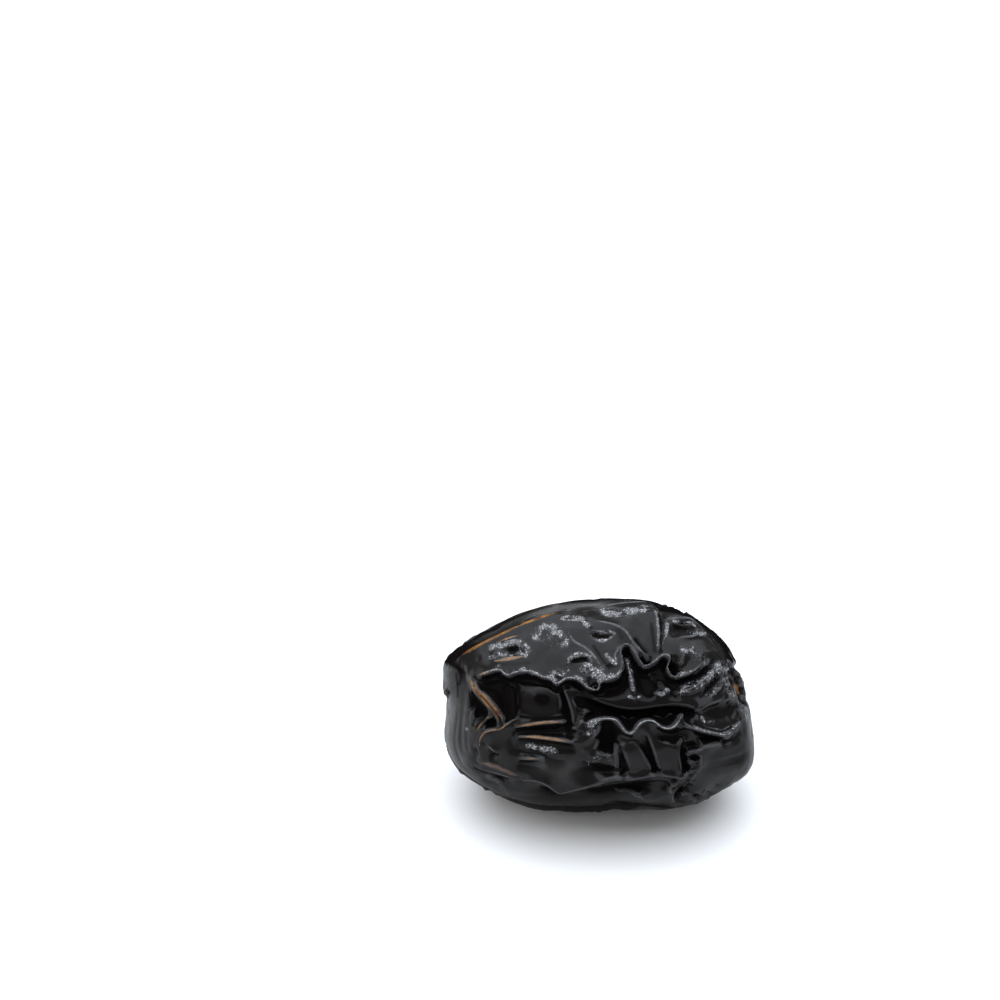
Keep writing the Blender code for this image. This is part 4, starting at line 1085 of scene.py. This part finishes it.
def raise_cells(skin, pins):
    """A net of low ridges on the hidden sides, wherever no drawn line holds the skin."""
    stretched = skin.points * np.array((0.6, 1, 1))
    cell = waves(stretched, wavelength=7.5, seed=31) + 0.25 * waves(skin.points, wavelength=1.6, seed=32)
    cell_edge = np.exp(-((cell / 0.09) ** 2)) * hidden_share(skin, 0.5)
    weight = CELL_HOLD * cell_edge * (pins.hold < 0.5)
    pins.hold += weight
    pins.held += weight * (0.25 + 0.15 * waves(skin.points, wavelength=3, seed=33))


def press_scar(skin, pins, scar):
    """The stem scar's ragged rings, given each point's distance from its middle in scar radii."""
    ragged = scar + 0.12 * waves(skin.points, wavelength=1.5, seed=21)
    ragged += 0.05 * waves(skin.points, wavelength=0.6, seed=22)
    for ring, width, height in SCAR_RINGS:
        near = np.nonzero(np.abs(ragged - ring) < width * 2)[0]
        pins.pin(near, ragged[near] - ring, width, height, RING_HOLD)
    pins.tints["scar"] = 1 - ragged


def fold_skin(skin):
    """Heights of the folded skin, and how far inside each tinted line every point lies."""
    pins = Pins(len(skin.points))
    creases = [(name, width, skin.traced(points)) for name, width, points in CREASES]
    narrow = [line for _, width, line in creases if width < NARROW_CREASE]
    creases += [(name, width, skin.laid(points)) for name, width, points in HIDDEN_CREASES]
    creases += [("end_rib", RIB_WIDTH, skin.laid(points)) for points in end_ribs()]
    lips = [(*lip[:4], LIP_WIDTH, skin.traced(lip[4])) for lip in LIPS]
    hidden_lips = [(*lip[:4], HIDDEN_LIP_WIDTH, skin.laid(lip[4])) for lip in HIDDEN_LIPS]
    skin.crowd([lip[5] for lip in hidden_lips], HIDDEN_CROWD_REACH)
    skin.crowd(narrow + [lip[5] for lip in lips], CROWD_REACH)
    press_creases(skin, pins, creases)
    raise_lips(skin, pins, lips + hidden_lips)
    raise_cells(skin, pins)
    scar = distance_from(skin, SCAR["px"]) / SCAR["radius"]
    press_scar(skin, pins, scar)
    knob = distance_from(skin, TIP_KNOB["px"])
    near = np.nonzero(knob < TIP_KNOB["dimple_radius"])[0]
    pins.pin(near, knob[near], TIP_KNOB["dimple_radius"] * 0.5, -TIP_KNOB["dimple"], DIMPLE_HOLD)
    rest = 0.12 * waves(skin.points, wavelength=7, seed=1) + 0.04 * waves(skin.points, wavelength=2.6, seed=2)
    heights = drape(skin, rest, pins.hold, pins.held)
    seen_height, more_hidden = TIP_PUCKER_HEIGHTS
    tip_height = seen_height + more_hidden * hidden_share(skin, 0.5)
    heights += puckers(skin, skin.points[knob.argmin()], height=tip_height, **TIP_PUCKERS)
    heights += puckers(skin, skin.points[scar.argmin()], **STEM_PUCKERS)
    heights += TIP_KNOB["height"] * np.exp(-((knob / TIP_KNOB["radius"]) ** 4))
    return heights, pins.tints


def stand_out(skin, heights, rounds):
    """How far each point stands out from the skin around it, in mm: crests are plus, creases minus."""
    first, second = skin.edges.T
    count = len(heights)
    ends = np.bincount(first, minlength=count) + np.bincount(second, minlength=count)
    around = heights
    for _ in range(rounds):
        joined = np.bincount(first, around[second], count) + np.bincount(second, around[first], count)
        around = 0.3 * around + 0.7 * joined / ends
    return heights - around


def brushed(strokes, points, normals, camera, blend):
    """Each seen point's share of soft strokes drawn over the photograph."""
    pixels, _ = on_photo(points, camera)
    facing = np.clip(toward_camera(normals) / SIDE_SOFTNESS + 1, 0, 1)
    amount = np.zeros(len(points))
    for half_width, strength, line in strokes:
        drawn = curve(line, 1)
        low, high = drawn.min(axis=0) - 2.5 * half_width, drawn.max(axis=0) + 2.5 * half_width
        near = np.nonzero((facing > 0) & ((pixels > low) & (pixels < high)).all(axis=1))[0]
        gap = np.linalg.norm(pixels[near][:, None] - drawn[None], axis=2).min(axis=1)
        amount[near] = blend(amount[near], facing[near] * strength * np.exp(-((gap / half_width) ** 2)))
    return amount


def hidden_share(skin, at_edge):
    """1 on the sides that the photograph doesn't show, 0 on those it does, and this share at the edge."""
    return np.clip(at_edge - toward_camera(skin.normals) / SIDE_SOFTNESS, 0, 1)


def puckers(skin, centre, axis, count, start, stop, height):
    """Fine folds that run out from a centre."""
    axis = np.array(axis) / np.linalg.norm(axis)
    gap = skin.points - centre
    first = np.cross(axis, (0, 0, 1.0))
    turn = np.arctan2(gap @ np.cross(axis, first), gap @ first)
    reach = np.linalg.norm(gap, axis=1)
    sway = 1.6 * waves(skin.points, wavelength=4, seed=41) + 0.8 * waves(skin.points, wavelength=2, seed=42)
    folds = 1 - np.abs(np.sin(count * turn + sway)) + 0.5 * np.cos(2.3 * count * turn + 1.3 * sway)
    spread = np.clip((reach - start) / 0.8, 0, 1) * np.exp(-((reach / stop) ** 4))
    return height * (folds - 0.4) * spread


def distance_from(skin, pixel):
    """Each point's distance in mm from the place under a pixel of the photograph."""
    return np.linalg.norm(skin.points - np.array(skin.seen_at(*pixel, 0)[0]), axis=1)


def add_card(name, colour, roughness, specular, size, **placing):
    """A flat card of one plain colour that isn't part of the fruit."""
    bpy.ops.object.select_all(action="DESELECT")
    bpy.ops.mesh.primitive_plane_add(size=size, **placing)
    card = bpy.context.object
    card.name = name
    material = bpy.data.materials.new(name)
    material.use_nodes = True
    shader = material.node_tree.nodes["Principled BSDF"]
    shader.inputs["Base Color"].default_value = colour
    shader.inputs["Roughness"].default_value = roughness
    shader.inputs["Specular IOR Level"].default_value = specular
    card.data.materials.append(material)
    return card


def make_black_card():
    """A card that only reflections see, as dark as the surroundings behind the fruit."""
    tilt = (math.radians(CARD_TILT_DEG), 0, 0)
    card = add_card("black_card", CARD_BLACK, 1, 0, size=1, location=CARD_MIDDLE, rotation=tilt)
    card.scale = (*CARD_SIZE, 1)
    card.visible_camera = False
    card.visible_diffuse = False
    card.visible_shadow = False


def area_light(name, place, aim, size, power, colour):
    data = bpy.data.lights.new(name, "AREA")
    data.shape = "RECTANGLE"
    data.size, data.size_y = size
    data.energy = power
    data.color = colour
    light = bpy.data.objects.new(name, data)
    bpy.context.scene.collection.objects.link(light)
    light.location = place
    light.rotation_mode = "QUATERNION"
    light.rotation_quaternion = (Vector(aim) - Vector(place)).to_track_quat("-Z", "Y")


def make_lights():
    world = bpy.data.worlds.new("studio")
    bpy.context.scene.world = world
    world.use_nodes = True
    background = world.node_tree.nodes["Background"]
    background.inputs["Color"].default_value = (1, 1, 1, 1)
    background.inputs["Strength"].default_value = WORLD_STRENGTH
    for light in LIGHTS:
        area_light(*light)
    bpy.context.scene.view_settings.view_transform = "Standard"


class Wiring:
    """Short ways to add and join the nodes of one material."""

    def __init__(self, material):
        material.use_nodes = True
        self.nodes = material.node_tree.nodes
        self.links = material.node_tree.links

    def put(self, socket, value):
        if isinstance(value, bpy.types.NodeSocket):
            self.links.new(value, socket)
        else:
            socket.default_value = value

    def attribute(self, name):
        node = self.nodes.new("ShaderNodeAttribute")
        node.attribute_name = name
        return node.outputs["Fac"]

    def math(self, operation, first, second):
        node = self.nodes.new("ShaderNodeMath")
        node.operation = operation
        self.put(node.inputs[0], first)
        self.put(node.inputs[1], second)
        return node.outputs[0]

    def times(self, first, second):
        return self.math("MULTIPLY", first, second)

    def plus(self, first, second):
        return self.math("ADD", first, second)

    def ramp(self, value, low, high, to_low=0.0, to_high=1.0):
        """The value led smoothly from to_low at low up to to_high at high."""
        node = self.nodes.new("ShaderNodeMapRange")
        node.interpolation_type = "SMOOTHSTEP"
        self.put(node.inputs["Value"], value)
        node.inputs["From Min"].default_value = low
        node.inputs["From Max"].default_value = high
        node.inputs["To Min"].default_value = to_low
        node.inputs["To Max"].default_value = to_high
        return node.outputs[0]

    def noise(self, place, scale, detail, rough):
        node = self.nodes.new("ShaderNodeTexNoise")
        self.put(node.inputs["Vector"], place)
        node.inputs["Scale"].default_value = scale
        node.inputs["Detail"].default_value = detail
        node.inputs["Roughness"].default_value = rough
        return node.outputs[0]

    def blend(self, factor, first, second):
        node = self.nodes.new("ShaderNodeMix")
        node.data_type = "RGBA"
        self.put(node.inputs["Factor"], factor)
        self.put(node.inputs[6], first)
        self.put(node.inputs[7], second)
        return node.outputs[2]


def skin_material():
    material = bpy.data.materials.new("ajwa_skin")
    wiring = Wiring(material)
    attribute, ramp, blend = wiring.attribute, wiring.ramp, wiring.blend
    times, plus = wiring.times, wiring.plus
    shader = wiring.nodes["Principled BSDF"]
    place = wiring.nodes.new("ShaderNodeTexCoord").outputs["Object"]
    grain, patch, broad, fine, bead = (wiring.noise(place, *pattern) for pattern in PATTERNS.values())
    crumple = attribute("crumple")

    def line(kind, low, edge, breaks=patch, soft=0.12):
        """A tinted line with uneven edges, broken through in places."""
        inside = plus(attribute(kind), times(plus(grain, -0.5), edge))
        return times(ramp(inside, 0.0, soft), ramp(breaks, 0.35, 0.6, low, 1.0))

    # Crumpled patches break up into specks, painted glints that stand in for their sparkle
    ragged = times(ramp(broad, 0.3, 0.7, 0.2, 1.6), ramp(patch, 0.35, 0.65, 0.3, 1.5))
    crumpled = ramp(times(crumple, ragged), 0.03, 0.8)
    dense = plus(fine, ramp(crumpled, 0.0, 1.0, -0.2, 0.08))
    glint_speck = times(ramp(dense, 0.42, 0.58), ramp(crumple, 0.03, 0.25))
    sparkle = blend(ramp(bead, 0.5, 0.66), HIGHLIGHT_GREY, PALE)

    # The scar's cork, bark and amber
    scar = plus(attribute("scar"), times(plus(broad, -0.5), 0.8))
    bark = blend(ramp(bead, 0.4, 0.65), BARK, DULL_AND_SHEEN_GREY)
    cork = blend(ramp(patch, 0.4, 0.6), BLACK, bark)
    amber = blend(ramp(bead, 0.35, 0.65), CORK, GOLD)
    cork = blend(ramp(times(attribute("amber"), ragged), 0.3, 0.6), cork, amber)

    # Colour, from the bare skin up
    # Crests get a soft painted highlight in dull grey
    colour = blend(times(ramp(attribute("crest"), 0.015, 0.08), 0.5), BLACK, DULL_AND_SHEEN_GREY)
    # Thin lines along crests get a painted highlight in grey
    colour = blend(line("crest_highlight", 0.5, 0.08), colour, HIGHLIGHT_GREY)
    colour = blend(times(line("rosy", 0.6, 0.2, soft=0.3), 0.7), colour, ROSY)
    colour = blend(line("tan", 0.7, 0.12), colour, TAN)
    colour = blend(line("golden", 0.8, 0.1), colour, blend(ramp(broad, 0.35, 0.6), BROWN, GOLD))
    # The palest lines paint bright highlights along crests
    colour = blend(times(line("pale", 0.15, 0.15, bead), 0.85), colour, PALE)
    colour = blend(ramp(scar, 0.1, 0.3), colour, cork)
    # Crumpled patches get a painted grey sheen
    colour = blend(times(crumpled, 0.9), colour, DULL_AND_SHEEN_GREY)
    # Painted glints: pale specks over the crumpled patches
    colour = blend(glint_speck, colour, sparkle)
    wiring.put(shader.inputs["Base Color"], colour)
    wiring.put(shader.inputs["Roughness"], ramp(crumple, 0.0, 1.0, 0.2, 0.3))

    # Gloss, lowered down in the folds and in the skin's hollows to paint shade there
    lit = ramp(attribute("height"), -1.2, -0.15, FOLD_SHADE_SHINE, SKIN_SHINE)
    lit = times(lit, ramp(attribute("hollow"), -0.35, 0.0, 0.2, 1.0))
    mottled = times(lit, ramp(broad, 0.3, 0.7, 0.88, 1.12))
    # The painted shade and highlight strokes lower or raise the gloss further
    wiring.put(shader.inputs["Coat Weight"], times(mottled, plus(attribute("painted_shade_and_highlight"), 1.0)))
    shader.inputs["Specular IOR Level"].default_value = 0
    shader.inputs["Coat Roughness"].default_value = 0.2
    shader.inputs["Coat IOR"].default_value = 1.5

    # Fine grain, rough where the skin is crumpled
    bump = wiring.nodes.new("ShaderNodeBump")
    bump.inputs["Strength"].default_value = 1.0
    bump.inputs["Distance"].default_value = GRAIN_DEPTH
    wiring.put(bump.inputs["Height"], times(grain, ramp(crumple, 0.0, 1.0, 0.08, 1.0)))
    wiring.put(shader.inputs["Normal"], bump.outputs[0])
    wiring.put(shader.inputs["Coat Normal"], bump.outputs[0])
    return material


def store(piece, name, values):
    layer = piece.data.attributes.new(name, "FLOAT", "POINT")
    layer.data.foreach_set("value", values.astype(np.float32))


def make_date_skin(camera):
    """The whole skin: plump, folded, fitted to the traced outline, and marked for its colours and gloss."""
    piece = make_plump_skin()
    mesh = piece.data
    plump = fit_outline(coordinates(mesh), vertex_normals(mesh), camera, sharpness=4, notches=0)
    set_coordinates(mesh, plump)
    skin = Skin(piece, camera)
    heights, tints = fold_skin(skin)
    folded = skin.points + skin.normals * heights[:, None]
    # Where the skin is crumpled: drawn patches on the seen side, scattered ones on the hidden sides; their
    # colour carries painted glints and a painted grey sheen
    crumple = brushed(CRUMPLED_AND_GLINTS, folded, skin.normals, camera, np.maximum)
    hidden_patches = np.clip(0.9 * waves(skin.points, wavelength=5, seed=51) - 1.1, 0, 1)
    crumple += hidden_share(skin, -0.2) * hidden_patches
    crinkle = waves(skin.points, wavelength=0.5, seed=3, count=60)
    crinkle += 0.6 * waves(skin.points, wavelength=0.3, seed=4, count=60)
    heights += CRUMPLE_HEIGHT * crumple * crinkle
    folded = skin.points + skin.normals * heights[:, None]
    shaped = fit_outline(folded, skin.normals, camera, sharpness=10, notches=1)
    shaped[:, 2] = np.maximum(0, shaped[:, 2])
    set_coordinates(mesh, shaped)
    normals = vertex_normals(mesh)
    store(piece, "height", heights)
    # Painted shade and painted highlights, stroked over the seen side as less or more gloss
    store(piece, "painted_shade_and_highlight", np.clip(brushed(SHADE_AND_HIGHLIGHT_STROKES, shaped, normals, camera, np.add), -1, 1.5))
    store(piece, "amber", brushed(AMBER, shaped, normals, camera, np.maximum))
    store(piece, "hollow", stand_out(skin, heights, rounds=40))
    store(piece, "crest", stand_out(skin, heights, rounds=5))
    store(piece, "crumple", crumple)
    for kind, inside in tints.items():
        store(piece, kind, inside)
    mesh.shade_smooth()
    mesh.materials.append(skin_material())
    return piece


piece = make_date_skin(make_camera())
add_card("floor", FLOOR_GREY, 0.6, 0.2, size=4)
make_lights()
make_black_card()
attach(piece, "root")
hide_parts("date_fruit")
